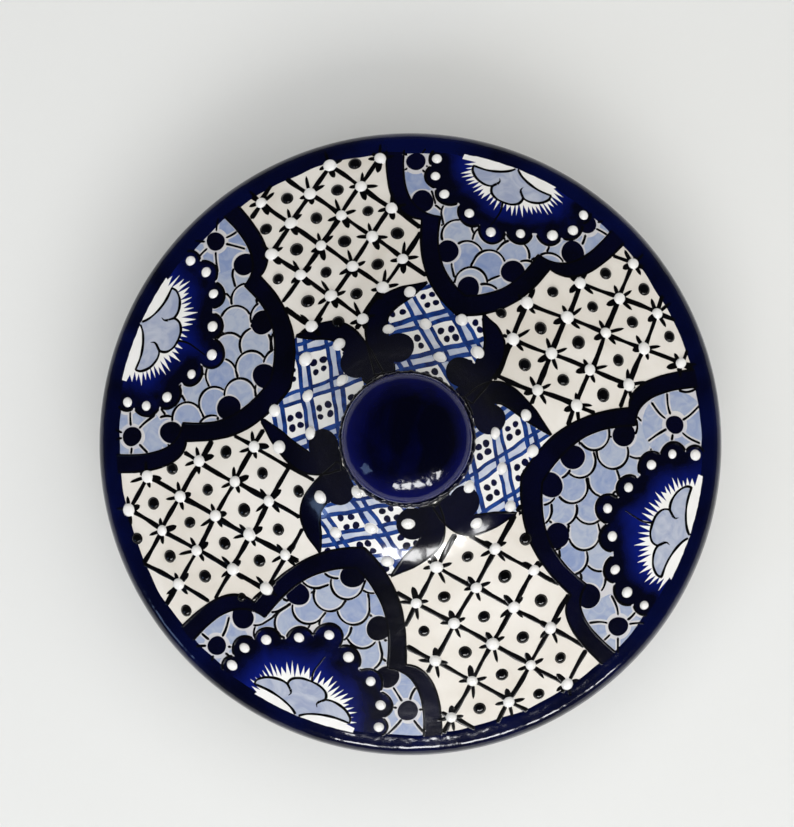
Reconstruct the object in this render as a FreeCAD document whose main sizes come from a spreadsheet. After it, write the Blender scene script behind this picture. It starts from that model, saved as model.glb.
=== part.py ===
import FreeCAD, Part
import math
import os
import random
import Sketcher

# Tagine pot: a shallow footed dish with a wide, low conical lid that lifts straight off.
# Millimetres, +Z up. The origin is the centre of the circle the foot stands on.

DOCUMENT_NAME = "tagine_pot"

# Driving dimensions. A turned profile's corner is a radius and a height, and "_round" is its rounding.
DIMENSIONS = {
    # heights shared by neighbouring parts
    "seat_height": 58.0,
    "crown_height": 118.0,
    "collar_top_height": 122.0,
    # dish, from under the middle outwards, over the rim and back to the middle inside
    "foot_recess_height": 4.5,
    "foot_recess_round": 2.5,
    "foot_inner_radius": 79.0,
    "foot_outer_radius": 87.5,
    "foot_round": 1.5,
    "foot_top_radius": 88.5,
    "foot_top_height": 7.0,
    "foot_top_round": 3.0,
    "dish_belly_radius": 120.0,
    "dish_belly_height": 16.0,
    "dish_belly_round": 60.0,
    "dish_neck_radius": 141.0,
    "dish_neck_height": 47.0,
    "dish_neck_round": 3.0,
    "dish_rim_radius": 150.5,
    "dish_rim_height": 51.0,
    "dish_rim_round": 2.5,
    "dish_lip_round": 2.0,
    "dish_mouth_radius": 134.5,
    "dish_mouth_height": 48.5,
    "dish_mouth_round": 3.0,
    "dish_inside_radius": 115.0,
    "dish_inside_height": 22.0,
    "dish_inside_round": 50.0,
    "dish_floor_radius": 86.0,
    "dish_floor_height": 12.5,
    "dish_floor_round": 55.0,
    # lid, from the vent under the knob, down the outside and back up the inside
    "vent_radius": 11.0,
    "vent_round": 0.8,
    "lid_neck_radius": 30.5,
    "lid_flare_radius": 49.4,
    "lid_flare_height": 101.0,
    "lid_flare_round": 56.0,
    "lid_slope_radius": 93.5,
    "lid_slope_height": 84.6,
    "lid_slope_round": 400.0,
    "lid_rim_radius": 149.5,
    "lid_rim_height": 65.3,
    "lid_rim_round": 7.2,
    "lid_edge_round": 1.6,
    "flange_outer_radius": 131.5,
    "flange_root_round": 1.0,
    "flange_height": 50.0,
    "flange_round": 2.4,
    "flange_inner_radius": 125.5,
    "lid_shoulder_height": 66.9,
    "lid_shoulder_round": 4.0,
    "lid_inside_radius": 90.6,
    "lid_inside_height": 79.2,
    "lid_inside_round": 240.0,
    "lid_throat_radius": 46.1,
    "lid_throat_height": 95.5,
    "lid_throat_round": 60.0,
    "ceiling_radius": 28.9,
    "ceiling_height": 111.0,
    "ceiling_round": 5.0,
    # collar ring the knob stands on
    "collar_inner_radius": 14.0,
    "collar_outer_radius": 30.6,
    "collar_base_round": 0.6,
    "collar_top_round": 2.0,
    # hollow mushroom knob
    "knob_top_height": 151.0,
    "knob_crown_radius": 13.7,
    "knob_crown_round": 41.5,
    "knob_radius": 28.5,
    "knob_shoulder_height": 140.2,
    "knob_shoulder_round": 9.0,
    "knob_belly_height": 130.3,
    "knob_stem_radius": 22.0,
    "knob_stem_height": 126.5,
    "knob_stem_round": 2.6,
    "knob_throat_height": 128.0,
    "knob_throat_round": 3.0,
    "knob_hollow_radius": 18.5,
    "knob_hollow_base_height": 134.0,
    "knob_hollow_base_round": 4.0,
    "knob_hollow_top_height": 141.5,
    "knob_hollow_top_round": 6.0,
    # raised dots of slip
    "white_bead_radius": 2.7,
    "white_bead_rise": 1.9,
    "black_bead_radius": 2.4,
    "black_bead_rise": 1.5,
    "bead_sink": 0.3,
    "white_bead_wander": 0.5,
    "black_bead_wander": 0.9,
    "bead_spacing": 8.5,
    "bead_band_radius": 138.5,
    "fan_bead_half_angle": 16.0,
    "fan_root_radius": 136.0,
    "plaid_cell": 17.0,
    "plaid_first_heading": 46.0,
    "plaid_second_heading": 120.0,
    "petal_cusp_radius": 104.7,
    "petal_shoulder_radius": 116.3,
    "petal_waist_radius": 82.0,
    "trellis_foot_radius": 49.0,
    "trellis_half_angle": 45.0,
    "white_bead_margin": 0.8,
    "black_bead_margin": 3.4,
}

# Each profile is walked corner by corner. A corner is (radius, height, rounding); None is the axis or a sharp
# corner, and a height of None is the plane the pot stands on.
DISH_CORNERS = [
    (None, "foot_recess_height", None),
    ("foot_inner_radius", "foot_recess_height", "foot_recess_round"),
    ("foot_inner_radius", None, "foot_round"),
    ("foot_outer_radius", None, "foot_round"),
    ("foot_top_radius", "foot_top_height", "foot_top_round"),
    ("dish_belly_radius", "dish_belly_height", "dish_belly_round"),
    ("dish_neck_radius", "dish_neck_height", "dish_neck_round"),
    ("dish_rim_radius", "dish_rim_height", "dish_rim_round"),
    ("dish_rim_radius", "seat_height", "dish_lip_round"),
    ("dish_mouth_radius", "seat_height", "dish_lip_round"),
    ("dish_mouth_radius", "dish_mouth_height", "dish_mouth_round"),
    ("dish_inside_radius", "dish_inside_height", "dish_inside_round"),
    ("dish_floor_radius", "dish_floor_height", "dish_floor_round"),
    (None, "dish_floor_height", None),
]
LID_OUTSIDE_CORNERS = [
    ("vent_radius", "crown_height", "vent_round"),
    ("lid_neck_radius", "crown_height", None),
    ("lid_flare_radius", "lid_flare_height", "lid_flare_round"),
    ("lid_slope_radius", "lid_slope_height", "lid_slope_round"),
    ("lid_rim_radius", "lid_rim_height", "lid_rim_round"),
    ("lid_rim_radius", "seat_height", "lid_edge_round"),
]
LID_INSIDE_CORNERS = [
    ("flange_outer_radius", "seat_height", "flange_root_round"),
    ("flange_outer_radius", "flange_height", "flange_round"),
    ("flange_inner_radius", "flange_height", "flange_round"),
    ("flange_inner_radius", "lid_shoulder_height", "lid_shoulder_round"),
    ("lid_inside_radius", "lid_inside_height", "lid_inside_round"),
    ("lid_throat_radius", "lid_throat_height", "lid_throat_round"),
    ("ceiling_radius", "ceiling_height", "ceiling_round"),
    ("vent_radius", "ceiling_height", "vent_round"),
]
COLLAR_CORNERS = [
    ("collar_inner_radius", "crown_height", None),
    ("collar_outer_radius", "crown_height", "collar_base_round"),
    ("collar_outer_radius", "collar_top_height", "collar_top_round"),
    ("collar_inner_radius", "collar_top_height", None),
]
KNOB_CORNERS = [
    (None, "knob_top_height", None),
    ("knob_crown_radius", "knob_top_height", "knob_crown_round"),
    ("knob_radius", "knob_shoulder_height", "knob_shoulder_round"),
    ("knob_radius", "knob_belly_height", "knob_shoulder_round"),
    ("knob_stem_radius", "knob_stem_height", "knob_stem_round"),
    ("knob_stem_radius", "collar_top_height", None),
    ("collar_inner_radius", "collar_top_height", None),
    ("collar_inner_radius", "knob_throat_height", "knob_throat_round"),
    ("knob_hollow_radius", "knob_hollow_base_height", "knob_hollow_base_round"),
    ("knob_hollow_radius", "knob_hollow_top_height", "knob_hollow_top_round"),
    (None, "knob_hollow_top_height", None),
]

# The four painted petals, one row each. Angles are degrees round the lid, radii are seen from above.
PETAL_FIELDS = ("azimuth", "rim_half_angle", "cusp_half_angle", "tip_radius", "fan_azimuth", "fan_tip_radius",
                "plaid_radius")
PETALS = [
    (68.5, 25.8, 18.0, 61.8, 68.3, 106.0, 40.5),
    (156.0, 30.0, 24.0, 59.3, 156.2, 101.0, 50.0),
    (247.8, 28.5, 21.5, 53.1, 247.8, 98.5, 43.0),
    (342.5, 31.5, 26.0, 54.5, 341.2, 98.0, 44.8),
]
# Crossings of the plaid under each petal tip that carry a white dot, counted in plaid cells.
PLAID_DOTS = [
    [(0, 0), (1, 0), (2, 0), (0, -1), (1, -1), (1, 1)],
    [(0, 0), (1, 0), (-1, 0), (0, 1), (0, -1), (1, 1), (-1, -1)],
    [(0, 0), (1, 0), (-1, 0), (0, 1), (0, -1), (-1, -1)],
    [(0, 0), (1, 0), (-1, 0), (0, 1), (0, -1), (1, 1), (-1, -1)],
]
# The four trellis panels between the petals, each laid by eye: radius and azimuth of one crossing, then
# the length and heading of each of its two cell sides.
TRELLIS_FIELDS = ("radius", "azimuth", "first_side", "first_heading", "second_side", "second_heading")
TRELLISES = [
    (101.2, 114.0, 18.4, -36.6, 17.1, 57.7),
    (97.0, 201.2, 19.2, -28.3, 18.7, 59.9),
    (74.5, 294.6, 20.3, -29.1, 20.0, 61.8),
    (105.4, 28.6, 19.7, -20.2, 18.8, 67.1),
]

# Shares, counts and a slope of the dot pattern.
WAIST_SHARE = 0.92
FAN_BEADS_A_SIDE = 4
FAN_CROWDING = 1.2
FAN_FULL_WIDTH_SHARE = 0.7
NOT_COVERED = -180.0
TRELLIS_REACH = 7
TRELLIS_FOOT_RISE_PER_DEGREE = 0.8
SEED = 23
TOLERANCE = 1e-9


def cell_names(group, number, fields):
    """Names of the cells that hold one row of a table, such as petal_1_azimuth."""
    return ["%s_%d_%s" % (group, number, field) for field in fields]


def make_sheet(doc):
    """Spreadsheet that holds every driving dimension under its own name."""
    cells = dict(DIMENSIONS)
    for number, values in enumerate(PETALS, start=1):
        cells.update(zip(cell_names("petal", number, PETAL_FIELDS), values))
    for number, values in enumerate(TRELLISES, start=1):
        cells.update(zip(cell_names("trellis", number, TRELLIS_FIELDS), values))
    sheet = doc.addObject("Spreadsheet::Sheet", "dims")
    for row, (name, value) in enumerate(cells.items(), start=1):
        sheet.set("A%d" % row, name)
        sheet.set("B%d" % row, str(value))
        sheet.setAlias("B%d" % row, name)
    doc.recompute()
    return sheet


def dimension(sheet, name):
    """Value of a driving dimension, with None standing for the axis or the ground plane."""
    return float(sheet.get(name)) if name else 0.0


def table_rows(sheet, group, count, fields):
    """The rows of a table, read back from the sheet, each as its values by field name."""
    rows = []
    for number in range(1, count + 1):
        values = [dimension(sheet, name) for name in cell_names(group, number, fields)]
        rows.append(dict(zip(fields, values)))
    return rows


def petal_rows(sheet):
    """The four painted petals."""
    return table_rows(sheet, "petal", len(PETALS), PETAL_FIELDS)


def trellis_rows(sheet):
    """The four trellis panels."""
    return table_rows(sheet, "trellis", len(TRELLISES), TRELLIS_FIELDS)


def unit(start, end):
    """Unit vector from one (radius, height) point to another."""
    length = math.dist(start, end)
    return (end[0] - start[0]) / length, (end[1] - start[1]) / length


def roundings(sheet, corners):
    """Where each rounding leaves and meets the sides, with its centre and turning sense.

    Gives one (arrive, depart, centre, left_turn) per corner; a sharp corner has no centre.
    """
    points = [(dimension(sheet, radius), dimension(sheet, height)) for radius, height, _ in corners]
    result = []
    for index, (_, _, round_name) in enumerate(corners):
        point = points[index]
        if round_name is None:
            result.append((point, point, None, False))
            continue
        inward = unit(points[index - 1], point)
        outward = unit(point, points[(index + 1) % len(points)])
        cross = inward[0] * outward[1] - inward[1] * outward[0]
        turn = math.atan2(abs(cross), inward[0] * outward[0] + inward[1] * outward[1])
        setback = dimension(sheet, round_name) * math.tan(turn / 2.0)
        arrive = (point[0] - inward[0] * setback, point[1] - inward[1] * setback)
        depart = (point[0] + outward[0] * setback, point[1] + outward[1] * setback)
        side = 1.0 if cross > 0 else -1.0
        reach = side * dimension(sheet, round_name)
        centre = (arrive[0] - inward[1] * reach, arrive[1] + inward[0] * reach)
        result.append((arrive, depart, centre, cross > 0))
    return result


def plane_of(body, role):
    """Origin plane of a body, found by its role."""
    for feature in body.Origin.OriginFeatures:
        if feature.Role == role:
            return feature
    raise LookupError(role)


def vector(point):
    """Sketch position of a (radius, height) point."""
    return FreeCAD.Vector(point[0], point[1], 0)


def rounding_arc(rounding, radius):
    """Arc for one rounded corner, always counter-clockwise as sketches keep them."""
    arrive, depart, centre, left_turn = rounding
    start, end = (arrive, depart) if left_turn else (depart, arrive)
    first = math.atan2(start[1] - centre[1], start[0] - centre[0])
    last = math.atan2(end[1] - centre[1], end[0] - centre[0])
    circle = Part.Circle(vector(centre), FreeCAD.Vector(0, 0, 1), radius)
    return Part.ArcOfCircle(circle, first, last)


def pin_corner(sheet, sketch, marker, corner):
    """Hold a construction point at its corner by the two named driving dimensions."""
    radius_name, height_name, _ = corner
    for kind, name, axis in (("DistanceX", radius_name, -2), ("DistanceY", height_name, -1)):
        if name is None:
            sketch.addConstraint(Sketcher.Constraint("PointOnObject", marker, 1, axis))
            continue
        row = sketch.addConstraint(Sketcher.Constraint(kind, -1, 1, marker, 1, dimension(sheet, name)))
        sketch.setExpression("Constraints[%d]" % row, "dims.%s" % name)


def join_corner(sheet, sketch, before, after, marker, rounding, round_name):
    """Join two sides at their corner, sharply or through a tangent arc of the named radius."""
    if round_name is None:
        sketch.addConstraint(Sketcher.Constraint("Coincident", before, 2, after, 1))
        sketch.addConstraint(Sketcher.Constraint("Coincident", before, 2, marker, 1))
        return
    arc = sketch.addGeometry(rounding_arc(rounding, dimension(sheet, round_name)), False)
    first, last = (1, 2) if rounding[3] else (2, 1)
    sketch.addConstraint(Sketcher.Constraint("PointOnObject", marker, 1, before))
    sketch.addConstraint(Sketcher.Constraint("PointOnObject", marker, 1, after))
    sketch.addConstraint(Sketcher.Constraint("Tangent", before, 2, arc, first))
    sketch.addConstraint(Sketcher.Constraint("Tangent", arc, last, after, 1))
    row = sketch.addConstraint(Sketcher.Constraint("Radius", arc, dimension(sheet, round_name)))
    sketch.setExpression("Constraints[%d]" % row, "dims.%s" % round_name)


def turned_body(doc, sheet, label, corners):
    """A body turned about the pot's axis from one closed profile of rounded corners."""
    body = doc.addObject("PartDesign::Body", label)
    body.Label = label
    sketch = body.newObject("Sketcher::SketchObject", label + "_profile")
    sketch.AttachmentSupport = [(plane_of(body, "XZ_Plane"), "")]
    sketch.MapMode = "FlatFace"
    curves = roundings(sheet, corners)
    count = len(corners)
    sides = []
    markers = []
    for index in range(count):
        start = vector(curves[index][1])
        end = vector(curves[(index + 1) % count][0])
        sides.append(sketch.addGeometry(Part.LineSegment(start, end), False))
    for radius_name, height_name, _ in corners:
        corner_point = vector((dimension(sheet, radius_name), dimension(sheet, height_name)))
        markers.append(sketch.addGeometry(Part.Point(corner_point), True))
    for index, corner in enumerate(corners):
        pin_corner(sheet, sketch, markers[index], corner)
        join_corner(sheet, sketch, sides[index - 1], sides[index], markers[index], curves[index], corner[2])
    turning = body.newObject("PartDesign::Revolution", label + "_turning")
    turning.Profile = (sketch, [""])
    turning.ReferenceAxis = (sketch, ["V_Axis"])
    turning.Angle = 360.0
    sketch.Visibility = False
    body.Tip = turning
    doc.recompute()
    if not sketch.FullyConstrained:
        raise RuntimeError("profile of %s is not fully constrained" % label)
    return body


def lid_surface(sheet, radius):
    """Height of the lid's outside at a radius, and its slope angle there in radians (falling outwards)."""
    curves = roundings(sheet, LID_OUTSIDE_CORNERS + LID_INSIDE_CORNERS)[:len(LID_OUTSIDE_CORNERS)]
    for index in range(1, len(curves)):
        arrive, depart, centre, left_turn = curves[index]
        line_start = curves[index - 1][1]
        if line_start[0] <= radius <= arrive[0]:
            share = (radius - line_start[0]) / (arrive[0] - line_start[0])
            height = line_start[1] + share * (arrive[1] - line_start[1])
            return height, math.atan2(line_start[1] - arrive[1], arrive[0] - line_start[0])
        if centre and arrive[0] <= radius <= max(depart[0], arrive[0] + TOLERANCE):
            across = radius - centre[0]
            drop = math.sqrt(math.dist(arrive, centre) ** 2 - across ** 2)
            if left_turn:
                return centre[1] - drop, math.atan2(-across, drop)
            return centre[1] + drop, math.atan2(across, drop)
    raise ValueError("no lid surface at radius %.1f" % radius)


def polar(radius, degrees):
    """Plan position of a radius and an azimuth."""
    return radius * math.cos(math.radians(degrees)), radius * math.sin(math.radians(degrees))


def angle_between(first, second):
    """Smallest angle in degrees between two azimuths."""
    return abs((first - second + 180.0) % 360.0 - 180.0)


def petal_half_angle(sheet, petal, radius):
    """Half angle a petal covers at a radius, from its rim through the cusp to its tip."""
    edge = [
        (petal["tip_radius"], 0.0),
        (dimension(sheet, "petal_waist_radius"), petal["cusp_half_angle"] * WAIST_SHARE),
        (dimension(sheet, "petal_cusp_radius"), petal["cusp_half_angle"]),
        (dimension(sheet, "petal_shoulder_radius"), petal["rim_half_angle"]),
        (dimension(sheet, "lid_rim_radius"), petal["rim_half_angle"]),
    ]
    for (low, low_half), (high, high_half) in zip(edge, edge[1:]):
        if low <= radius <= high:
            return low_half + (high_half - low_half) * (radius - low) / (high - low)
    return NOT_COVERED


def on_trellis(sheet, position, margin):
    """True where a dot of the trellis has room between its petals, the rim band and the scrolls."""
    radius = math.hypot(*position)
    azimuth = math.degrees(math.atan2(position[1], position[0]))
    if radius > dimension(sheet, "bead_band_radius"):
        return False
    margin_angle = math.degrees(margin / max(radius, 1.0))
    for petal in petal_rows(sheet):
        if angle_between(azimuth, petal["azimuth"]) < petal_half_angle(sheet, petal, radius) + margin_angle:
            return False
    off_centre = min(angle_between(azimuth, trellis["azimuth"]) for trellis in trellis_rows(sheet))
    foot = dimension(sheet, "trellis_foot_radius") + TRELLIS_FOOT_RISE_PER_DEGREE * off_centre
    return radius > foot + margin / 2.0


def trellis_points(sheet, trellis, shift, margin):
    """Crossings (shift 0) or cell middles (shift one half) of one trellis panel."""
    half_angle = dimension(sheet, "trellis_half_angle")
    corner = polar(trellis["radius"], trellis["azimuth"])
    first = polar(trellis["first_side"], trellis["first_heading"])
    second = polar(trellis["second_side"], trellis["second_heading"])
    points = []
    for row in range(-TRELLIS_REACH, TRELLIS_REACH + 1):
        for column in range(-TRELLIS_REACH, TRELLIS_REACH + 1):
            along = row + shift
            across = column + shift
            position = (corner[0] + along * first[0] + across * second[0],
                        corner[1] + along * first[1] + across * second[1])
            azimuth = math.degrees(math.atan2(position[1], position[0]))
            off_centre = angle_between(azimuth, trellis["azimuth"])
            if off_centre < half_angle and on_trellis(sheet, position, margin):
                points.append(position)
    return points


def fan_points(sheet, petal):
    """White dots round the scalloped fan at a petal's rim."""
    fan_tip = petal["fan_tip_radius"]
    fan_root = dimension(sheet, "fan_root_radius")
    points = []
    for step in range(-FAN_BEADS_A_SIDE, FAN_BEADS_A_SIDE + 1):
        share = (abs(step) / FAN_BEADS_A_SIDE) ** FAN_CROWDING
        width = math.sin(math.pi / 2.0 * min(1.0, share / FAN_FULL_WIDTH_SHARE))
        side_angle = math.copysign(dimension(sheet, "fan_bead_half_angle") * width, step)
        points.append(polar(fan_tip + (fan_root - fan_tip) * share, petal["fan_azimuth"] + side_angle))
    return points


def plaid_points(sheet, petal, crossings):
    """White dots on the plaid patch under a petal's tip."""
    cell = dimension(sheet, "plaid_cell")
    middle = polar(petal["plaid_radius"], petal["azimuth"])
    first = polar(cell, petal["azimuth"] + dimension(sheet, "plaid_first_heading"))
    second = polar(cell, petal["azimuth"] + dimension(sheet, "plaid_second_heading"))
    return [(middle[0] + along * first[0] + across * second[0],
             middle[1] + along * first[1] + across * second[1]) for along, across in crossings]


def bead(sheet, position, radius, rise):
    """One raised dot: a cap standing square on the lid's slope, its foot a little into the glaze."""
    plan_radius = math.hypot(*position)
    height, slope = lid_surface(sheet, plan_radius)
    outwards = FreeCAD.Vector(position[0] / plan_radius, position[1] / plan_radius, 0)
    normal = outwards * math.sin(slope) + FreeCAD.Vector(0, 0, math.cos(slope))
    cap_height = rise + dimension(sheet, "bead_sink")
    ball_radius = (radius ** 2 + cap_height ** 2) / (2.0 * cap_height)
    foot_latitude = math.degrees(math.asin((ball_radius - cap_height) / ball_radius))
    surface_point = FreeCAD.Vector(position[0], position[1], height)
    centre = surface_point + normal * (rise - ball_radius)
    return Part.makeSphere(ball_radius, centre, normal, foot_latitude, 90, 360)


def bead_group(doc, sheet, colour, positions, rng):
    """One colour of raised dots, each set down by hand a little off its mark."""
    label = colour + "_slip_beads"
    wander = dimension(sheet, colour + "_bead_wander")
    radius = dimension(sheet, colour + "_bead_radius")
    rise = dimension(sheet, colour + "_bead_rise")
    caps = []
    for position in positions:
        shifted = (position[0] + rng.uniform(-wander, wander), position[1] + rng.uniform(-wander, wander))
        caps.append(bead(sheet, shifted, radius, rise))
    group = doc.addObject("Part::Feature", label)
    group.Label = label
    group.Shape = Part.makeCompound(caps)
    group.Placement = FreeCAD.Placement()
    return group


def spaced(sheet, positions, placed):
    """The positions that stand clear of those already placed and of each other."""
    kept = []
    for position in positions:
        if all(math.dist(position, other) > dimension(sheet, "bead_spacing") for other in placed + kept):
            kept.append(position)
    return kept


def white_dot_positions(sheet):
    """Every white dot: fans, plaid patches and trellis crossings."""
    positions = []
    for petal, crossings in zip(petal_rows(sheet), PLAID_DOTS):
        positions += fan_points(sheet, petal)
        positions += plaid_points(sheet, petal, crossings)
    for trellis in trellis_rows(sheet):
        positions += trellis_points(sheet, trellis, 0.0, dimension(sheet, "white_bead_margin"))
    return spaced(sheet, positions, [])


def black_dot_positions(sheet):
    """Every black dot: one in the middle of each trellis cell."""
    positions = []
    for trellis in trellis_rows(sheet):
        positions += trellis_points(sheet, trellis, 0.5, dimension(sheet, "black_bead_margin"))
    return spaced(sheet, positions, white_dot_positions(sheet))


def check(doc, nodes):
    """Stop before writing if anything in the document is broken."""
    for obj in doc.Objects:
        if "Invalid" in obj.State or "Error" in obj.State:
            raise RuntimeError("%s did not compute: %s" % (obj.Label, obj.State))
    for node in nodes:
        if node.Shape.isNull() or not node.Shape.isValid():
            raise RuntimeError("%s has no valid shape" % node.Label)


def build():
    """Make every sub-part, check it and write one STEP file each."""
    doc = FreeCAD.newDocument(DOCUMENT_NAME)
    sheet = make_sheet(doc)
    rng = random.Random(SEED)
    nodes = [
        turned_body(doc, sheet, "base_dish", DISH_CORNERS),
        turned_body(doc, sheet, "lid_shell", LID_OUTSIDE_CORNERS + LID_INSIDE_CORNERS),
        turned_body(doc, sheet, "knob_collar", COLLAR_CORNERS),
        turned_body(doc, sheet, "lid_knob", KNOB_CORNERS),
        bead_group(doc, sheet, "white", white_dot_positions(sheet), rng),
        bead_group(doc, sheet, "black", black_dot_positions(sheet), rng),
    ]
    doc.recompute()
    check(doc, nodes)
    os.makedirs("parts", exist_ok=True)
    for node in nodes:
        node.Shape.exportStep("parts/%s.step" % node.Label)
        box = node.Shape.BoundBox
        print("%-18s volume %10.0f  solids %3d  z %6.1f to %6.1f  radius %6.1f" % (
            node.Label, node.Shape.Volume, len(node.Shape.Solids), box.ZMin, box.ZMax, box.XMax))


build()
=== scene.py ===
import math
import random
from dataclasses import dataclass
from functools import partial
from typing import NamedTuple

import bpy
import numpy as np
from mathutils import Matrix, Vector
from mathutils.geometry import delaunay_2d_cdt


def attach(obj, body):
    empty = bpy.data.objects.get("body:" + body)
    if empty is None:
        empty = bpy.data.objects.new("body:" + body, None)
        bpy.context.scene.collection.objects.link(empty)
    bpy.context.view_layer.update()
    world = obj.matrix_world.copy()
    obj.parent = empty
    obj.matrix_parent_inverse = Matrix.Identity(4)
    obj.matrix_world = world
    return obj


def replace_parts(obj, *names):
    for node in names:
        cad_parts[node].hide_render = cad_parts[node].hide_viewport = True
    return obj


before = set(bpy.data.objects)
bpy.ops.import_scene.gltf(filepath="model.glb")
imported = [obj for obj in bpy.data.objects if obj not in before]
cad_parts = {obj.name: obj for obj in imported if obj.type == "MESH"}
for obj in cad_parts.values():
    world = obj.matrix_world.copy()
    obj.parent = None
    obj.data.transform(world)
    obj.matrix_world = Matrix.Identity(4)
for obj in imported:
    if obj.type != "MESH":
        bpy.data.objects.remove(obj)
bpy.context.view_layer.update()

# Everything below is drawn in millimetres in the pot's own frame and scaled to metres when a mesh is made.
MM = 0.001
TAU = 2.0 * math.pi
rng = random.Random(41)

# Turned profiles: radius, height, rounding of each corner, walked with the outside on the left for the lid,
# the collar and the knob, and on the right for the dish.
LID_PROFILE = [
    (11.0, 118.0, 0.8), (30.5, 118.0, 0.0), (49.4, 101.0, 56.0), (93.5, 84.6, 400.0), (149.5, 65.3, 7.2),
    (149.5, 58.0, 1.6), (131.5, 58.0, 1.0), (131.5, 50.0, 2.4), (125.5, 50.0, 2.4), (125.5, 66.9, 4.0),
    (90.6, 79.2, 240.0), (46.1, 95.5, 60.0), (28.9, 111.0, 5.0), (11.0, 111.0, 0.8),
]
DISH_PROFILE = [
    (0.0, 4.5, 0.0), (79.0, 4.5, 2.5), (79.0, 0.0, 1.5), (87.5, 0.0, 1.5), (88.5, 7.0, 3.0),
    (120.0, 16.0, 60.0), (141.0, 47.0, 3.0), (150.5, 51.0, 2.5), (150.5, 58.0, 2.0), (134.5, 58.0, 2.0),
    (134.5, 48.5, 3.0), (115.0, 22.0, 50.0), (86.0, 12.5, 55.0), (0.0, 12.5, 0.0),
]
KNOB_PROFILE = [
    (0.0, 151.0, 0.0), (13.7, 151.0, 41.5), (28.5, 140.2, 9.0), (28.5, 130.3, 9.0), (22.0, 126.5, 2.6),
    (22.0, 122.0, 0.0), (14.0, 122.0, 0.0), (14.0, 128.0, 3.0), (18.5, 134.0, 4.0), (18.5, 141.5, 6.0),
    (0.0, 141.5, 0.0),
]
COLLAR_PROFILE = [(14.0, 118.0, 0.0), (30.6, 118.0, 0.6), (30.6, 122.0, 2.0), (14.0, 122.0, 0.0)]

# The lid's four painted petals: azimuth, half angle at the rim and at the cusp, tip radius, fan azimuth and
# fan tip radius, size of the burst, size of the flower across and inwards, and how far the scales' heading is
# turned off the petal's own.
PETALS = [
    (68.5, 25.8, 18.0, 61.8, 68.3, 106.0, 1.0, (1.02, 0.95), 0.0),
    (156.0, 30.0, 24.0, 59.3, 156.2, 101.0, 1.13, (1.1, 1.08), -48.0),
    (247.8, 28.5, 21.5, 53.1, 247.8, 98.5, 1.06, (1.25, 0.94), 0.0),
    (342.5, 31.5, 26.0, 54.5, 341.2, 98.0, 1.1, (1.15, 1.0), -60.0),
]
# Plaid under each petal's tip: azimuth and radius of one white square, then length and heading of the steps
# from square to square both ways.
PLAIDS = [
    (69, 52, 18.5, 118, 16.5, 16),
    (140, 53, 21.5, 279, 15, 197),
    (234, 46, 19.5, 11, 14.5, 303),
    (5, 48, 16.5, 213, 18.5, 283),
]
# Trellis panels: radius and azimuth of one crossing, then length and heading of each cell side.
TRELLISES = [
    (101.2, 114.0, 18.4, -36.6, 17.1, 57.7),
    (97.0, 201.2, 19.2, -28.3, 18.7, 59.9),
    (74.5, 294.6, 20.3, -29.1, 20.0, 61.8),
    (105.4, 28.6, 19.7, -20.2, 18.8, 67.1),
]
# Black discs in each petal, as angle off its middle and radius: first those along the band and in the tip,
# then the one in the middle of each lobe at the rim.
PETAL_DISCS = [
    ([(19, 113), (11, 90), (0, 76), (-11, 93), (-19, 119)], [(20, 134), (-18, 134)]),
    ([(-22, 116), (-17, 88), (-2, 71), (13, 86), (21, 115)], [(-22, 133), (23, 132)]),
    ([(0, 65), (-15, 86), (-21, 114), (14, 88), (17, 109)], [(-21, 133), (22, 127)]),
    ([(0, 66), (8, 82), (18, 101), (-17, 80), (-23, 109)], [(21, 126), (-24, 132)]),
]
# Scrolls round the knob, two to each petal's plaid patch: azimuth and radius of the ball, azimuth of the
# horn's foot at the collar, then azimuth and radius of the horn's shoulder and of its tip on the petal.
SCROLLS = [
    (51, 39, 36, 46, 57, 59, 68),
    (96, 42, 109, 103, 60, 83, 74),
    (124, 42, 118, 122, 58, 137, 71),
    (184, 38, 197, 191, 49, 171, 70),
    (216, 38, 205, 215, 54, 232, 66),
    (273, 38, 288, 283, 47, 263, 63),
    (312, 38, 298, 305, 47, 326, 60),
    (374, 38, 388, 386, 48, 362, 66),
]
HORN_FOOT_RADIUS = 31.0
BALL_RADIUS = 7.2
HORN_HALF_WIDTHS = (4.6, 5.3, 5.1, 4.6, 3.3, 0.15)

LID_RIM_BAND = 139.4
LID_CUSP_RADIUS = 104.7
RING_RADIUS = 30.2


# ---- plan geometry ----

def polar(radius, degrees):
    """Plan position of a radius and an azimuth."""
    return np.array((radius * math.cos(math.radians(degrees)), radius * math.sin(math.radians(degrees))))


def full_turn(count):
    """Evenly spaced angles once round."""
    return np.linspace(0.0, TAU, count, endpoint=False)


def random_turn():
    """An angle drawn at random."""
    return rng.uniform(0, TAU)


def azimuth_of(points):
    """Azimuths in degrees of plan points."""
    points = np.atleast_2d(points)
    return np.degrees(np.arctan2(points[:, 1], points[:, 0]))


def span(points):
    """Length of each plan vector."""
    return np.hypot(points[..., 0], points[..., 1])


def left_of(line):
    """Unit vectors square to a line, on its left, at each of its points."""
    along = np.gradient(line, axis=0)
    along /= np.maximum(span(along)[:, None], 1e-9)
    return np.column_stack((-along[:, 1], along[:, 0]))


def length_along(line):
    """Distance of each point of a line from its start."""
    return np.concatenate(((0.0,), np.cumsum(span(np.diff(line, axis=0)))))


def normalised(vectors):
    """Space vectors cut or stretched to unit length."""
    return vectors / np.maximum(np.linalg.norm(vectors, axis=1)[:, None], 1e-9)


def nearest(line, place):
    """Index of the point of a line nearest to a place."""
    return int(np.argmin(span(line - place)))


def stretch(line, first, last):
    """The part of a line between the points nearest to two places."""
    return line[nearest(line, first):nearest(line, last) + 1]


def closed(outline):
    """An outline run on past its first point, for drawing round it."""
    return np.vstack((outline, outline[:2]))


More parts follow.
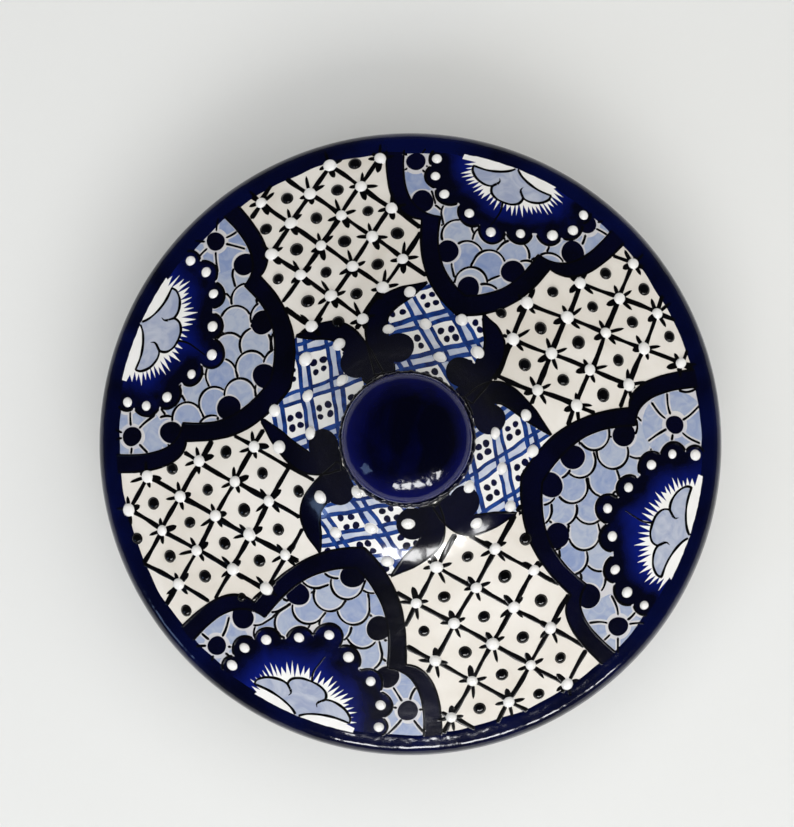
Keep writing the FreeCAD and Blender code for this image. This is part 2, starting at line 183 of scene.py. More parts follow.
def angle_between(first, second):
    """Smallest angle in degrees between azimuths."""
    return np.abs((first - second + 180.0) % 360.0 - 180.0)


def bezier(start, first, second, end, count):
    """Points on a cubic curve, without its last point."""
    share = np.linspace(0.0, 1.0, count, endpoint=False)[:, None]
    back = 1.0 - share
    return (back ** 3 * start + 3 * back ** 2 * share * first + 3 * back * share ** 2 * second
            + share ** 3 * end)


def spline(points, per_span):
    """A smooth curve through the points (Catmull-Rom), both ends included."""
    points = np.asarray(points, float)
    padded = np.vstack((2 * points[0] - points[1], points, 2 * points[-1] - points[-2]))
    share = np.linspace(0.0, 1.0, per_span, endpoint=False)[:, None]
    spans = []
    for index in range(1, len(padded) - 2):
        a, b, c, d = padded[index - 1:index + 3]
        spans.append(0.5 * (2 * b + (c - a) * share + (2 * a - 5 * b + 4 * c - d) * share ** 2
                            + (3 * b - a - 3 * c + d) * share ** 3))
    return np.vstack(spans + [points[-1:]])


def circle(centre, radius, count):
    """Closed ring of points round a centre. The radius may differ from point to point."""
    turn = full_turn(count)
    return np.column_stack((centre[0] + radius * np.cos(turn), centre[1] + radius * np.sin(turn)))


def blob(centre, radius, count, unevenness):
    """A hand-dabbed round spot: a circle that wavers a little."""
    turn = full_turn(count)
    reach = radius * (1.0 + unevenness * np.sin(2 * turn + random_turn())
                      + 0.5 * unevenness * np.sin(3 * turn + random_turn()))
    return circle(centre, reach, count)


def wavering(points, amount, wavelength):
    """The same line as drawn by hand: it wanders sideways by about amount."""
    along = length_along(points)
    wave = (np.sin(TAU * along / wavelength + random_turn())
            + 0.6 * np.sin(TAU * along / (0.47 * wavelength) + random_turn()))
    return points + left_of(points) * (amount * 0.7 * wave)[:, None]


def inside(points, outline):
    """Which plan points lie inside a closed outline."""
    low = outline.min(0)
    high = outline.max(0)
    near = np.all((points >= low) & (points <= high), axis=1)
    result = np.zeros(len(points), bool)
    if not near.any():
        return result
    x, y = points[near].T
    hit = np.zeros(len(x), bool)
    following = np.roll(outline, -1, axis=0)
    for (ax, ay), (bx, by) in zip(outline, following):
        if ay == by:
            continue
        spans = (ay > y) != (by > y)
        hit ^= spans & (x < (bx - ax) * (y - ay) / (by - ay) + ax)
    result[near] = hit
    return result


def clear_of(outlines, points):
    """True outside every one of the outlines."""
    free = np.ones(len(points), bool)
    for outline in outlines:
        free &= ~inside(points, outline)
    return free


# ---- turned surfaces ----

def turned_line(corners, step, looped):
    """Points along a rounded profile, about step apart on the straights and finer round the corners."""
    points = np.array([corner[:2] for corner in corners])
    count = len(points)
    line = []
    for index, (_, _, rounding) in enumerate(corners):
        here = points[index]
        if rounding == 0.0:
            line.append(here[None, :])
            continue
        inward = here - points[index - 1]
        outward = points[(index + 1) % count] - here
        inward /= np.hypot(*inward)
        outward /= np.hypot(*outward)
        cross = inward[0] * outward[1] - inward[1] * outward[0]
        turn = math.atan2(abs(cross), float(inward @ outward))
        start = here - inward * rounding * math.tan(turn / 2.0)
        side = math.copysign(1.0, cross)
        centre = start + side * rounding * np.array((-inward[1], inward[0]))
        first = math.atan2(*(start - centre)[::-1])
        pieces = max(4, int(math.ceil(rounding * turn / step)))
        angles = first + side * np.linspace(0.0, turn, pieces + 1)
        line.append(np.column_stack((centre[0] + rounding * np.cos(angles),
                                     centre[1] + rounding * np.sin(angles))))
    joined = []
    for index, piece in enumerate(line):
        joined.append(piece)
        if index + 1 == count and not looped:
            break
        start = piece[-1]
        end = line[(index + 1) % count][0]
        pieces = int(np.hypot(*(end - start)) / step)
        if pieces > 1:
            share = np.linspace(0.0, 1.0, pieces + 1)[1:-1, None]
            joined.append(start + share * (end - start))
    return np.vstack(joined)


def ripple(radius, angle):
    """How far a hand-thrown wall stands proud of its true profile."""
    rings = 0.045 * np.sin(radius * 0.74 + 0.9 * np.sin(2.0 * angle + 1.0))
    sway = 0.10 * np.sin(3.0 * angle + 0.5) * np.sin(radius / 19.0)
    dents = 0.07 * np.sin(5.0 * angle + 2.1 + radius / 31.0) * np.cos(radius / 13.0)
    return rings + sway + dents


def lid_shift(radius, angle, height):
    """Unevenness of the lid, dying out at its crown, seat and flange."""
    share = np.clip((radius - 30.5) / 2.0, 0.0, 1.0) * np.clip((height - 60.0) / 4.0, 0.0, 1.0)
    return ripple(radius, angle) * share


def dish_shift(radius, angle, height):
    """Unevenness of the dish, dying out at its foot and rim."""
    share = np.clip((radius - 90.0) / 4.0, 0.0, 1.0) * np.clip((141.0 - radius) / 3.0, 0.0, 1.0)
    return ripple(radius, angle) * share


class Skin:
    """A turned wall that painting follows.

    Painting is laid out flat, by azimuth and a chart radius. On the lid that is the radius seen from above.
    On an unrolled wall it grows with the distance up the wall, so a steep wall doesn't stretch the painting.
    """

    def __init__(self, corners, first, last, side, unrolled, shift):
        whole = turned_line(corners, 0.5, True)
        shown = slice(nearest(whole, first), nearest(whole, last) + 1)
        line = whole[shown]
        outward = side * left_of(whole)[shown]
        chart = first[0] + length_along(line) if unrolled else line[:, 0]
        order = np.argsort(chart, kind="stable")
        self.chart = chart[order]
        self.radii = line[order, 0]
        self.heights = line[order, 1]
        self.tilts = outward[order]
        self.downward = outward[:, 1].mean() < 0
        self.shift = shift

    def normals(self, plan):
        """Outward unit normals at chart points."""
        chart = span(plan)
        out = np.interp(chart, self.chart, self.tilts[:, 0])
        upward = np.interp(chart, self.chart, self.tilts[:, 1])
        length = np.hypot(out, upward)
        spread = plan / chart[:, None]
        return np.column_stack((spread * (out / length)[:, None], upward / length))

    def lift(self, plan, offset):
        """Points a given distance out from the wall, over chart points."""
        chart = span(plan)
        radius = np.interp(chart, self.chart, self.radii)
        height = np.interp(chart, self.chart, self.heights)
        angle = np.arctan2(plan[:, 1], plan[:, 0])
        base = np.column_stack((plan * (radius / chart)[:, None], height))
        proud = np.asarray(offset) + self.shift(radius, angle, height)
        return base + self.normals(plan) * proud[:, None]


# ---- meshes ----

MIDDLE_TONE = 0.5


class Batch:
    """Geometry of one colour, gathered from many strokes and turned into one mesh at the end."""

    def __init__(self):
        self.points = []
        self.normals = []
        self.tones = []
        self.faces = []
        self.total = 0

    def add(self, points, normals, faces, tones):
        """Adds vertices with their normals and tone, and faces counted within them."""
        if len(points) == 0:
            return
        self.points.append(points)
        self.normals.append(normals)
        self.tones.append(np.broadcast_to(np.asarray(tones, float), (len(points),)))
        self.faces.extend(tuple(int(corner) + self.total for corner in face) for face in faces)
        self.total += len(points)


def new_object(name, data):
    """A new object in the scene."""
    thing = bpy.data.objects.new(name, data)
    bpy.context.collection.objects.link(thing)
    return thing


def make_object(name, points, faces, look, body, slot=None):
    """A smooth-shaded mesh piece that rides on a body. The slot argument is not used."""
    mesh = bpy.data.meshes.new(name)
    mesh.from_pydata((np.asarray(points) * MM).tolist(), [], faces)
    mesh.polygons.foreach_set("use_smooth", [True] * len(mesh.polygons))
    mesh.materials.append(MATERIALS[look])
    mesh.update()
    piece = new_object(name, mesh)
    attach(piece, body)
    slot or SLOTS[look]
    return piece


def set_tones(piece, tones):
    """Gives a piece's vertices the tone that its glaze reads."""
    attribute = piece.data.attributes.new("tone", "FLOAT", "POINT")
    attribute.data.foreach_set("value", tones.astype(np.float32))


def ring_faces(upper, lower):
    """Faces between two rings of vertices; a ring may be one vertex over and over."""
    for step in range(len(upper)):
        after = (step + 1) % len(upper)
        corners = tuple(dict.fromkeys((upper[step], lower[step], lower[after], upper[after])))
        if len(corners) > 2:
            yield corners


def finish_batch(name, batch, look, body, slot=None):
    """Makes the one mesh of a batch, with its tones and exact normals."""
    piece = make_object(name, np.vstack(batch.points), batch.faces, look, body, slot)
    set_tones(piece, np.concatenate(batch.tones))
    piece.data.normals_split_custom_set_from_vertices(np.vstack(batch.normals).tolist())
    return piece


def lathe(name, line, looped, segments, shift, look, body):
    """A turned wall. shift(radius, angle, height) gives how far it is moved outwards along the profile."""
    angles = full_turn(segments)
    points = []
    rings = []
    for (radius, height), normal in zip(line, left_of(line)):
        first = len(points)
        if radius < 1e-6:
            points.append((0.0, 0.0, height))
            rings.append([first] * segments)
            continue
        moved = shift(radius, angles, height)
        out = radius + normal[0] * moved
        points.extend(zip(out * np.cos(angles), out * np.sin(angles), height + normal[1] * moved))
        rings.append(range(first, first + segments))
    pairs = list(zip(rings, rings[1:]))
    if looped:
        pairs.append((rings[-1], rings[0]))
    faces = [face for upper, lower in pairs for face in ring_faces(upper, lower)]
    return make_object(name, np.array(points, float), faces, look, body)


# ---- brush work ----

RIDGE_SECTION = ((-1.0, -0.05), (-0.9, 0.6), (-0.6, 0.93), (0.0, 1.0), (0.6, 0.93), (0.9, 0.6), (1.0, -0.05))
RIDGE_LEAN = 0.7
SKIRT_HEIGHT = 0.12
BURIED = 0.05
TRIANGLE_HEIGHT = 0.866

# Kinds of raised line: half width, height of the foot, rise and spacing of the points.
SCALE_LINE = (0.6, 0.06, 0.24, 0.7)
SPOKE_LINE = (0.6, 0.06, 0.3, 0.7)
SCALLOP_LINE = (0.6, 0.12, 0.35, 0.8)
OUTER_LINE = (0.55, 0.16, 0.24, 0.9)
INNER_LINE = (0.5, 0.16, 0.24, 0.9)
FLOWER_LINE = (0.62, 0.2, 0.35, 0.6)
HORN_LINE = (0.5, 0.14, 0.26, 0.9)
DISH_TRELLIS_LINE = (0.6, 0.04, 0.16, 0.6)


def stroke(batch, skin, points, half_widths, base, rise):
    """A raised line of slip along plan points, domed across and tapering where its width does.

    The strokes on the dish are finer, so they need fewer points across.
    """
    count = len(points)
    half_widths = np.broadcast_to(half_widths, (count,))
    sideways = left_of(points)
    fullness = np.sqrt(np.clip(half_widths / max(float(half_widths.max()), 1e-6), 0.0, 1.0))
    section = RIDGE_SECTION[::2] if skin.downward else RIDGE_SECTION
    columns = []
    leans = []
    for across, height in section:
        plan = points + sideways * (across * half_widths)[:, None]
        columns.append(skin.lift(plan, base + rise * height * fullness))
        sidelong = np.column_stack((sideways, np.zeros(count))) * (RIDGE_LEAN * across ** 5)
        leans.append(normalised(skin.normals(plan) + sidelong))
    width = len(section)
    faces = []
    for row in range(count - 1):
        for column in range(width - 1):
            a = row * width + column
            quad = (a, a + width, a + width + 1, a + 1)
            faces.append(quad[::-1] if skin.downward else quad)
    points, normals = (np.stack(rows, axis=1).reshape(-1, 3) for rows in (columns, leans))
    batch.add(points, normals, faces, MIDDLE_TONE)


def ends_rounded(count, full, step):
    """Half widths of a stroke whose two ends are rounded off."""
    distance = np.minimum(np.arange(count), np.arange(count)[::-1]) * step
    return full * np.sqrt(np.clip(1.0 - (1.0 - np.minimum(distance / full, 1.0)) ** 2, 0.0, 1.0))


def hand_width(count, full, unevenness):
    """A width that breathes a little along the stroke."""
    along = np.arange(count)
    return full * (1.0 + unevenness * np.sin(along * 0.21 + random_turn())
                   + 0.5 * unevenness * np.sin(along * 0.53 + random_turn()))


def resample(points, step):
    """The same line with its points evenly about step apart."""
    along = length_along(points)
    marks = np.linspace(0.0, along[-1], max(3, int(along[-1] / step) + 1))
    return np.column_stack((np.interp(marks, along, points[:, 0]), np.interp(marks, along, points[:, 1])))


def line_work(batch, skin, points, kind, visible, size=1.0):
    """Draws those stretches of a line where visible(points) is true, each with rounded ends.

    A kind of line is its half width, the height of its foot, its rise and the spacing of its points.
    """
    half_width, base, rise, step = kind
    half_width *= size
    step *= size
    points = resample(points, step)
    edges = np.flatnonzero(np.diff(np.concatenate(((False,), visible(points), (False,))).astype(int)))
    for start, end in zip(edges[::2], edges[1::2]):
        count = end - start
        if count > 2:
            widths = hand_width(count, half_width, 0.14)
            widths = np.minimum(widths, ends_rounded(count, half_width * 1.2, step))
            stroke(batch, skin, points[start:end], widths, base, rise * size)


class Shape(NamedTuple):
    """One painted area: its colour, outline, thickness and tone, and the outline that it may show within."""

    colour: str
    outline: np.ndarray
    height: float
    tone: float = MIDDLE_TONE
    clip: np.ndarray = None


def fill(batches, skin, shapes, spacing):
    """Lays down painted areas. Earlier shapes hide later ones, and a shape with no colour leaves a gap."""
    loops = [shape.outline for shape in shapes] + [shape.clip for shape in shapes if shape.clip is not None]
    loops = list({id(loop): loop for loop in loops}.values())
    coords = []
    edges = []
    for loop in loops:
        first = len(coords)
        coords.extend(loop.tolist())
        edges.extend((first + index, first + (index + 1) % len(loop)) for index in range(len(loop)))
    low = np.min(coords, axis=0)
    high = np.max(coords, axis=0)
    rows = int((high[1] - low[1]) / (spacing * TRIANGLE_HEIGHT)) + 1
    columns = int((high[0] - low[0]) / spacing) + 1
    grid = np.array([(low[0] + (column + 0.5 * (row % 2)) * spacing, low[1] + row * spacing * TRIANGLE_HEIGHT)
                     for row in range(rows) for column in range(columns)])
    coords.extend(grid[~clear_of([shape.outline for shape in shapes], grid)].tolist())
    result = delaunay_2d_cdt([Vector(point) for point in coords], edges, [], 0, 1e-4, False)
    plan = np.array([tuple(point) for point in result[0]])
    triangles = np.array([face for face in result[2] if len(face) == 3])
    middles = plan[triangles].mean(1)
    free = np.ones(len(triangles), bool)
    for shape in shapes:
        hit = free.copy()
        hit[free] = inside(middles[free], shape.outline)
        if shape.clip is not None:
            hit[hit] = inside(middles[hit], shape.clip)
        free &= ~hit
        if shape.colour is not None:
            lay_down(batches[shape.colour], skin, plan, triangles[hit], shape)


def lay_down(batch, skin, plan, triangles, shape):
    """Adds one area's triangles, and a rounded skirt round its edge if it is thick."""
    if len(triangles) == 0:
        return
    a, b, c = (plan[triangles[:, corner]] for corner in range(3))
    turning = (b[:, 0] - a[:, 0]) * (c[:, 1] - a[:, 1]) - (b[:, 1] - a[:, 1]) * (c[:, 0] - a[:, 0])
    triangles = np.where((turning < 0)[:, None], triangles[:, ::-1], triangles)
    used, local = np.unique(triangles, return_inverse=True)
    local = local.reshape(-1, 3)
    spots = plan[used]
    faces = local[:, ::-1] if skin.downward else local
    tone = shape.tone(spots) if callable(shape.tone) else shape.tone
    batch.add(skin.lift(spots, shape.height), skin.normals(spots), faces.tolist(), tone)
    if shape.height < SKIRT_HEIGHT:
        return
    sides = np.vstack((local[:, (0, 1)], local[:, (1, 2)], local[:, (2, 0)])).tolist()
    known = {tuple(side) for side in sides}
    rim = np.array([side for side in sides if (side[1], side[0]) not in known])
    start, end = spots[rim[:, 0]], spots[rim[:, 1]]
    along = end - start
    count = len(rim)
    away = normalised(np.column_stack((along[:, 1], -along[:, 0], np.zeros(count))))
    edges = ((start, shape.height), (end, shape.height), (end, -BURIED), (start, -BURIED))
    vertices = np.vstack([skin.lift(edge, offset) for edge, offset in edges])
    upper = skin.normals(start) * 0.6 + away * 0.8
    faces = [(step, step + 3 * count, step + 2 * count, step + count) for step in range(count)]
    if skin.downward:
        faces = [face[::-1] for face in faces]
    batch.add(vertices, np.vstack((upper, upper, away, away)), faces, MIDDLE_TONE)


# ---- materials ----

TONE_WAVER = 0.45


def add_node(tree, kind, settings, sources, **properties):
    """A shader node with its properties set, its inputs filled in, and its other inputs fed from outputs."""
    node = tree.nodes.new("ShaderNode" + kind)
    for name, value in properties.items():
        setattr(node, name, value)
    for socket, value in settings.items():
        node.inputs[socket].default_value = value
    for socket, output in sources.items():
        tree.links.new(output, node.inputs[socket])
    return node


def glaze(name, dark, light, patch_scale, patch_warp, roughness, wave, by_tone=False, coat=0.6, mirror=0.5):
    """A glossy fired glaze whose colour pools between two shades, over a slightly uneven surface. With
    by_tone, the mesh's tone also moves it between the shades; on the knob that tone is painted light,
    brighter blue down its flank.
    """
    material = bpy.data.materials.new(name)
    material.use_nodes = True
    tree = material.node_tree
    where = add_node(tree, "TexCoord", {}, {}).outputs["Object"]
    pools = add_node(tree, "TexNoise", {"Scale": patch_scale, "Detail": 5.0, "Distortion": patch_warp},
                     {"Vector": where})
    amount = add_node(tree, "MapRange", {"From Min": 0.34, "From Max": 0.66},
                      {"Value": pools.outputs["Fac"]}).outputs["Result"]
    if by_tone:
        tone = add_node(tree, "Attribute", {}, {}, attribute_name="tone")
        softened = add_node(tree, "Math", {1: TONE_WAVER}, {0: amount, 2: tone.outputs["Fac"]},
                            operation="MULTIPLY_ADD")
        amount = add_node(tree, "Math", {1: TONE_WAVER / 2.0}, {0: softened.outputs[0]},
                          operation="SUBTRACT", use_clamp=True).outputs[0]
    mix = add_node(tree, "Mix", {"A": (*dark, 1.0), "B": (*light, 1.0)}, {"Factor": amount}, data_type="RGBA")
    swell = add_node(tree, "TexNoise", {"Scale": 95.0, "Detail": 2.5}, {"Vector": where})
    bump = add_node(tree, "Bump", {"Strength": 1.0, "Distance": wave}, {"Height": swell.outputs["Fac"]})
    shader = tree.nodes["Principled BSDF"]
    for socket, value in (("Roughness", roughness), ("Specular IOR Level", mirror), ("Coat Weight", coat),
                          ("Coat Roughness", 0.03)):
        shader.inputs[socket].default_value = value
    tree.links.new(mix.outputs["Result"], shader.inputs["Base Color"])
    for socket in ("Normal", "Coat Normal"):
        tree.links.new(bump.outputs["Normal"], shader.inputs[socket])
    return material


MATERIALS = {
    "cream": glaze("cream_glaze", (0.69, 0.645, 0.575), (0.8, 0.765, 0.71), 28.0, 0.4, 0.12, 0.00016),
    "white": glaze("white_slip", (0.8, 0.79, 0.76), (0.87, 0.86, 0.84), 90.0, 0.2, 0.14, 0.0001),
    "cobalt": glaze("cobalt_glaze", (0.0004, 0.0009, 0.009), (0.0007, 0.0025, 0.034), 22.0, 0.6, 0.1, 0.0004,
                    coat=0.12, mirror=0.34),
    # The knob's light shade is painted light: build_knob's tone paints its lower flank bright blue where
    # light falls on it.
    "knob": glaze("knob_glaze_painted_flank_light", (0.0004, 0.0006, 0.005), (0.001, 0.0025, 0.09), 30.0, 0.6, 0.08, 0.0005, True,
                  0.0, 0.34),
    "navy": glaze("navy_glaze", (0.0005, 0.0007, 0.0035), (0.0008, 0.0011, 0.013), 24.0, 0.6, 0.13, 0.00018,
                  coat=0.15, mirror=0.34),
    "fan": glaze("fan_glaze", (0.0006, 0.0009, 0.007), (0.002, 0.007, 0.13), 60.0, 0.5, 0.12, 0.00012, True,
                 0.15, 0.34),
    "black": glaze("black_glaze", (0.0008, 0.0008, 0.001), (0.0018, 0.0018, 0.0025), 60.0, 0.3, 0.12, 0.00006,
                   coat=0.15, mirror=0.28),
    "wash": glaze("wash_glaze", (0.4, 0.44, 0.53), (0.155, 0.225, 0.44), 130.0, 1.8, 0.13, 0.0001, True),
    "pale": glaze("pale_glaze", (0.52, 0.52, 0.56), (0.63, 0.61, 0.6), 110.0, 0.8, 0.13, 0.0001),
    "flower": glaze("flower_glaze", (0.3, 0.34, 0.47), (0.46, 0.49, 0.57), 90.0, 1.8, 0.13, 0.0001),
    "tint": glaze("tint_glaze", (0.42, 0.48, 0.62), (0.62, 0.64, 0.7), 120.0, 1.2, 0.13, 0.0001),
    "stripe": glaze("stripe_glaze", (0.003, 0.012, 0.085), (0.012, 0.055, 0.26), 160.0, 1.2, 0.13, 0.0001),
    "dot": glaze("dot_glaze", (0.0008, 0.0012, 0.012), (0.0015, 0.0025, 0.035), 90.0, 0.4, 0.12, 0.0001),
    "clay": glaze("bare_clay", (0.33, 0.13, 0.065), (0.45, 0.2, 0.11), 260.0, 0.3, 0.85, 0.00025, coat=0.0),
}
SLOTS = {
    "cream": "cream_glaze", "white": "white_slip", "cobalt": "cobalt_glaze", "knob": "cobalt_glaze",
    "navy": "black_glaze", "fan": "cobalt_glaze", "black": "black_glaze", "wash": "pale_blue_glaze",
    "pale": "cream_glaze", "flower": "pale_blue_glaze", "tint": "pale_blue_glaze", "stripe": "mid_blue_glaze",
    "dot": "cobalt_glaze", "clay": "bare_clay",
}


# ---- the petals ----

# How far each coat of glaze stands off the wall.
PALE_COAT = 0.08
WASH_COAT = 0.11
FAN_COAT = 0.2
WHITE_COAT = 0.26
NAVY_COATS = {"band": 0.24, "horn": 0.26, "disc": 0.28, "ball": 0.3}
FLOWER_COAT = 0.3


@dataclass
class Petal:
    """Measures of one painted petal, and positions in it by angle off its middle and radius."""

    azimuth: float
    rim_half: float
    cusp_half: float
    tip: float
    fan_azimuth: float
    fan_tip: float
    burst: float
    flower: tuple
    scale_turn: float
    rim: float
    cusp: float
    unit: float

    def __post_init__(self):
        self.fan_half = 16.0 * self.unit * 118.0 / (0.5 * (self.fan_tip + self.rim))
        self.band = 8.4 * self.unit
        self.outer = petal_outline(self, 0.0)
        self.inner = petal_outline(self, self.band)

    def at(self, half, radius):
        """Plan position at an angle off the petal's middle."""
        return polar(radius, self.azimuth + half)


def petal_outline(petal, inset):
    """Outline of a petal: a lobe each side at the rim, a cusp, and a long side down to the tip."""
    rim_half = petal.rim_half - math.degrees(inset / petal.rim)
    cusp_half = petal.cusp_half - math.degrees(inset / petal.cusp)
    cusp = petal.cusp + 0.25 * inset
    tip = petal.tip + 1.2 * inset
    reach = cusp - tip
    sides = []
    for hand in (1.0, -1.0):
        corner = petal.at(hand * cusp_half, cusp)
        bulge = hand * rim_half * 1.03
        lobe = bezier(petal.at(hand * rim_half, petal.rim + 2.0), petal.at(bulge, petal.rim * 0.9),
                      petal.at(bulge, cusp + 1.5), corner, 16)
        side = bezier(corner, petal.at(hand * cusp_half * 1.01, cusp - 0.36 * reach),
                      petal.at(hand * cusp_half * 0.96, tip + 0.26 * reach), petal.at(0.0, tip), 22)
        sides.append(np.vstack((lobe, side)))
    tip_point = petal.at(0.0, tip)[None, :]
    left = sides[1][::-1]
    rim_edge = [petal.at(share * rim_half, petal.rim + 2.0) for share in np.linspace(-1.0, 1.0, 14)[1:-1]]
    return np.vstack((sides[0], tip_point, left, rim_edge))


def fan_curve(petal, inset, count):
    """Curve of a petal's fan from one foot at the rim over its tip to the other, moved in by inset."""
    tip = petal.fan_tip + inset
    half = petal.fan_half - math.degrees(inset / petal.rim)
    root = petal.rim - 3.5 * petal.unit
    points = []
    for step in np.linspace(-1.0, 1.0, count):
        share = abs(step) ** 1.2
        width = half * math.sin(math.pi / 2.0 * min(1.0, share / 0.7))
        points.append(polar(tip + (root - tip) * share, petal.fan_azimuth + math.copysign(width, step)))
    return np.array(points)


def fan_outline(petal, inset):
    """The fan's curve closed along the rim."""
    curve = fan_curve(petal, inset, 41)
    feet = azimuth_of(curve[(0, -1), :])
    start = petal.fan_azimuth - angle_between(feet[0], petal.fan_azimuth)
    end = petal.fan_azimuth + angle_between(feet[1], petal.fan_azimuth)
    back = [polar(petal.rim + 1.5, angle) for angle in np.linspace(end, start, 14)]
    return np.vstack((curve, back))


def rim_frame(petal):
    """Maps (across, depth) in millimetres to plan, from the middle of the fan at the rim."""
    foot = polar(petal.rim, petal.fan_azimuth)
    inward = -foot / np.hypot(*foot)
    across = np.array((inward[1], -inward[0]))

    def place(points, size):
        points = np.asarray(points, float) * petal.unit * size
        return foot + points[:, :1] * across + points[:, 1:] * inward
    return place


BURST_RAYS = 29


def sunburst_outline(petal):
    """White burst of pointed rays round the flower."""
    points = [(-26.0, -6.0)]
    for ray in range(BURST_RAYS):
        for part, depth in ((0.0, rng.uniform(3.2, 6.4)), (0.5, rng.uniform(-1.8, 1.4))):
            turn = math.pi * (ray + part + rng.uniform(-0.14, 0.14)) / BURST_RAYS
            across = -(25.0 - depth) * math.cos(turn)
            deep = (21.5 - depth) * max(0.0, math.sin(turn)) ** 0.92
            points.append((across, deep + across * across / 290.0))
    points.append((26.0, -6.0))
    return rim_frame(petal)(points, petal.burst)


FLOWER_EDGE = [
    [(0.0, -1.5), (3.2, 1.6), (8.0, 4.0), (13.5, 5.4), (19.5, 5.6)],
    [(19.5, 5.6), (19.0, 8.3), (16.0, 11.4), (11.6, 12.9), (8.0, 12.4), (6.0, 10.2)],
    [(6.0, 10.2), (7.7, 12.6), (6.8, 15.8), (3.7, 17.9), (0.0, 18.4)],
]


def flower_outline(petal):
    """Three-lobed flower whose top runs to a point at the rim."""
    half = np.vstack([spline(part, 5)[:-1] for part in FLOWER_EDGE])
    mirrored = half[1:][::-1] * (-1.0, 1.0)
    return rim_frame(petal)(np.vstack((half, ((0.0, 18.4),), mirrored)), petal.flower)


def scale_outline(origin, axis, top, unit, grow):
    """Fish-scale shape: an arch at top from origin along axis, its sides drawing in towards the origin."""
    across = np.array((-axis[1], axis[0]))
    width = SCALE_WIDTH * unit
    depth = SCALE_DEPTH * unit
    grow *= unit
    half = width / 2.0 + grow
    crown = width * 0.52
    places = [(half * math.cos(angle), top - crown + (crown + grow) * math.sin(angle))
              for angle in np.linspace(0.0, math.pi, 17)]
    places += [(hand * half * draw, top - crown - share * depth)
               for hand, share, draw in ((-1, 0.5, 0.9), (-1, 1.0, 0.66), (1, 1.0, 0.66), (1, 0.5, 0.9))]
    return np.array([origin + across * side + axis * along for side, along in places])


SCALE_WIDTH = 15.2
SCALE_PITCH = 13.9
SCALE_DEPTH = 11.0
SCALE_ROW_STEP = 11.2
# Tops of the rows of scales, from the origin that their axes spread from.
FANNED_TOPS = np.arange(17.5, 95.0, SCALE_ROW_STEP)
SLANTED_TOPS = np.arange(50.0, 190.0, SCALE_ROW_STEP)
SLANTED_ORIGIN = 120.0


def scale_places(petal):
    """Scales of a petal, row by row: (origin, axis, top). They fan out from its tip, or lie across it."""
    heading = petal.azimuth + petal.scale_turn
    outward = polar(1.0, heading)
    left = np.array((-outward[1], outward[0]))
    if petal.scale_turn:
        origin = petal.at(0.0, 0.5 * (petal.tip + petal.rim)) - outward * SLANTED_ORIGIN * petal.unit
        tops = SLANTED_TOPS
        reaches = np.full(len(tops), 0.6)
    else:
        origin = petal.at(0.0, petal.tip + 8.0 * petal.unit)
        tops = FANNED_TOPS
        reaches = np.where(tops < 45.0, 1.25, 1.05)
    places = []
    for row, (top, reach) in enumerate(zip(tops * petal.unit, reaches)):
        turn = SCALE_PITCH * petal.unit / (top - 6.5 * petal.unit)
        count = int(reach / turn) + 1
        for step in range(-count, count + 1):
            angle = (step + 0.5 * (row % 2)) * turn + rng.uniform(-0.12, 0.12) * turn
            if abs(angle) <= reach + 0.1:
                axis = outward * math.cos(angle) + left * math.sin(angle)
                places.append((origin, axis, top + rng.uniform(-0.9, 0.9) * petal.unit))
    return places


BAND_DISC_RADIUS = 5.6
LOBE_DISC_RADIUS = 4.6
LOBE_ROOM = 16.0
DISC_FROM_BAND = 4.2


def place_discs(petal, places, radius, from_band):
    """Discs of slip at angles off a petal's middle and radii, drawn up to the band: (centre, outline)."""
    discs = []
    for angle, reach in places:
        centre = petal.at(angle, reach)
        if from_band:
            edge = petal.inner[nearest(petal.inner, centre)]
            centre = edge + (centre - edge) * (from_band * petal.unit / span(centre - edge))
        discs.append((centre, blob(centre, radius * petal.unit * rng.uniform(0.93, 1.07), 28, 0.04)))
    return discs


def lobe_spokes(petal, centre, room):
    """Brush strokes that fan out from the disc of a lobe, as far as the band and within a room round it."""
    heading = math.degrees(math.atan2(centre[1], centre[0]))
    spokes = []
    for turn in (-150.0, -95.0, -40.0, 35.0, 90.0, 145.0):
        angle = heading + turn + rng.uniform(-14.0, 14.0)
        end = centre + polar(LOBE_ROOM * 1.05 * petal.unit, angle)
        bow = polar(rng.uniform(-1.8, 1.8) * petal.unit, angle + 90.0)
        line = spline([centre, (centre + end) / 2.0 + bow, end], 14)
        spokes.append(line[inside(line, petal.inner) & inside(line, room)])
    return spokes


def ribbon(line, half_width):
    """Outline of a stroke of even width along a line."""
    sideways = left_of(line) * np.reshape(half_width, (-1, 1))
    return np.vstack((line + sideways, (line - sideways)[::-1]))


def fan_scallops(petal):
    """Round lobes along the edge of the fan, one under each white dot, smaller at its two feet."""
    beads = fan_curve(petal, 0.0, 9)
    scallops = []
    for bead, share in zip(beads, (0.85, *[1.0] * (len(beads) - 2), 0.85)):
        inward = petal.at(0.0, petal.rim) - bead
        radius = 6.7 * petal.unit * rng.uniform(0.94, 1.05) * share
        scallops.append(blob(bead + inward / span(inward) * 0.9 * petal.unit, radius, 26, 0.03))
    return scallops


def scale_shapes(petal, blocked, wash_room):
    """Washed scales with pale edges, and their outlines, those in front first."""
    unit = petal.unit
    shapes = []
    kept = []
    for origin, axis, top in scale_places(petal):
        centre = (origin + axis * (top - SCALE_WIDTH * unit * 0.45))[None, :]
        if inside(centre, petal.outer)[0] and clear_of(blocked, centre)[0]:
            wash, halo, edge = (scale_outline(origin, axis, top, unit, grow) for grow in (-1.3, 0.6, 0.0))
            shapes.append(Shape("wash", wash, WASH_COAT, rng.uniform(0.0, 0.65), wash_room))
            shapes.append(Shape("pale", halo, PALE_COAT, clip=petal.inner))
            kept.append(edge)
    return shapes, kept


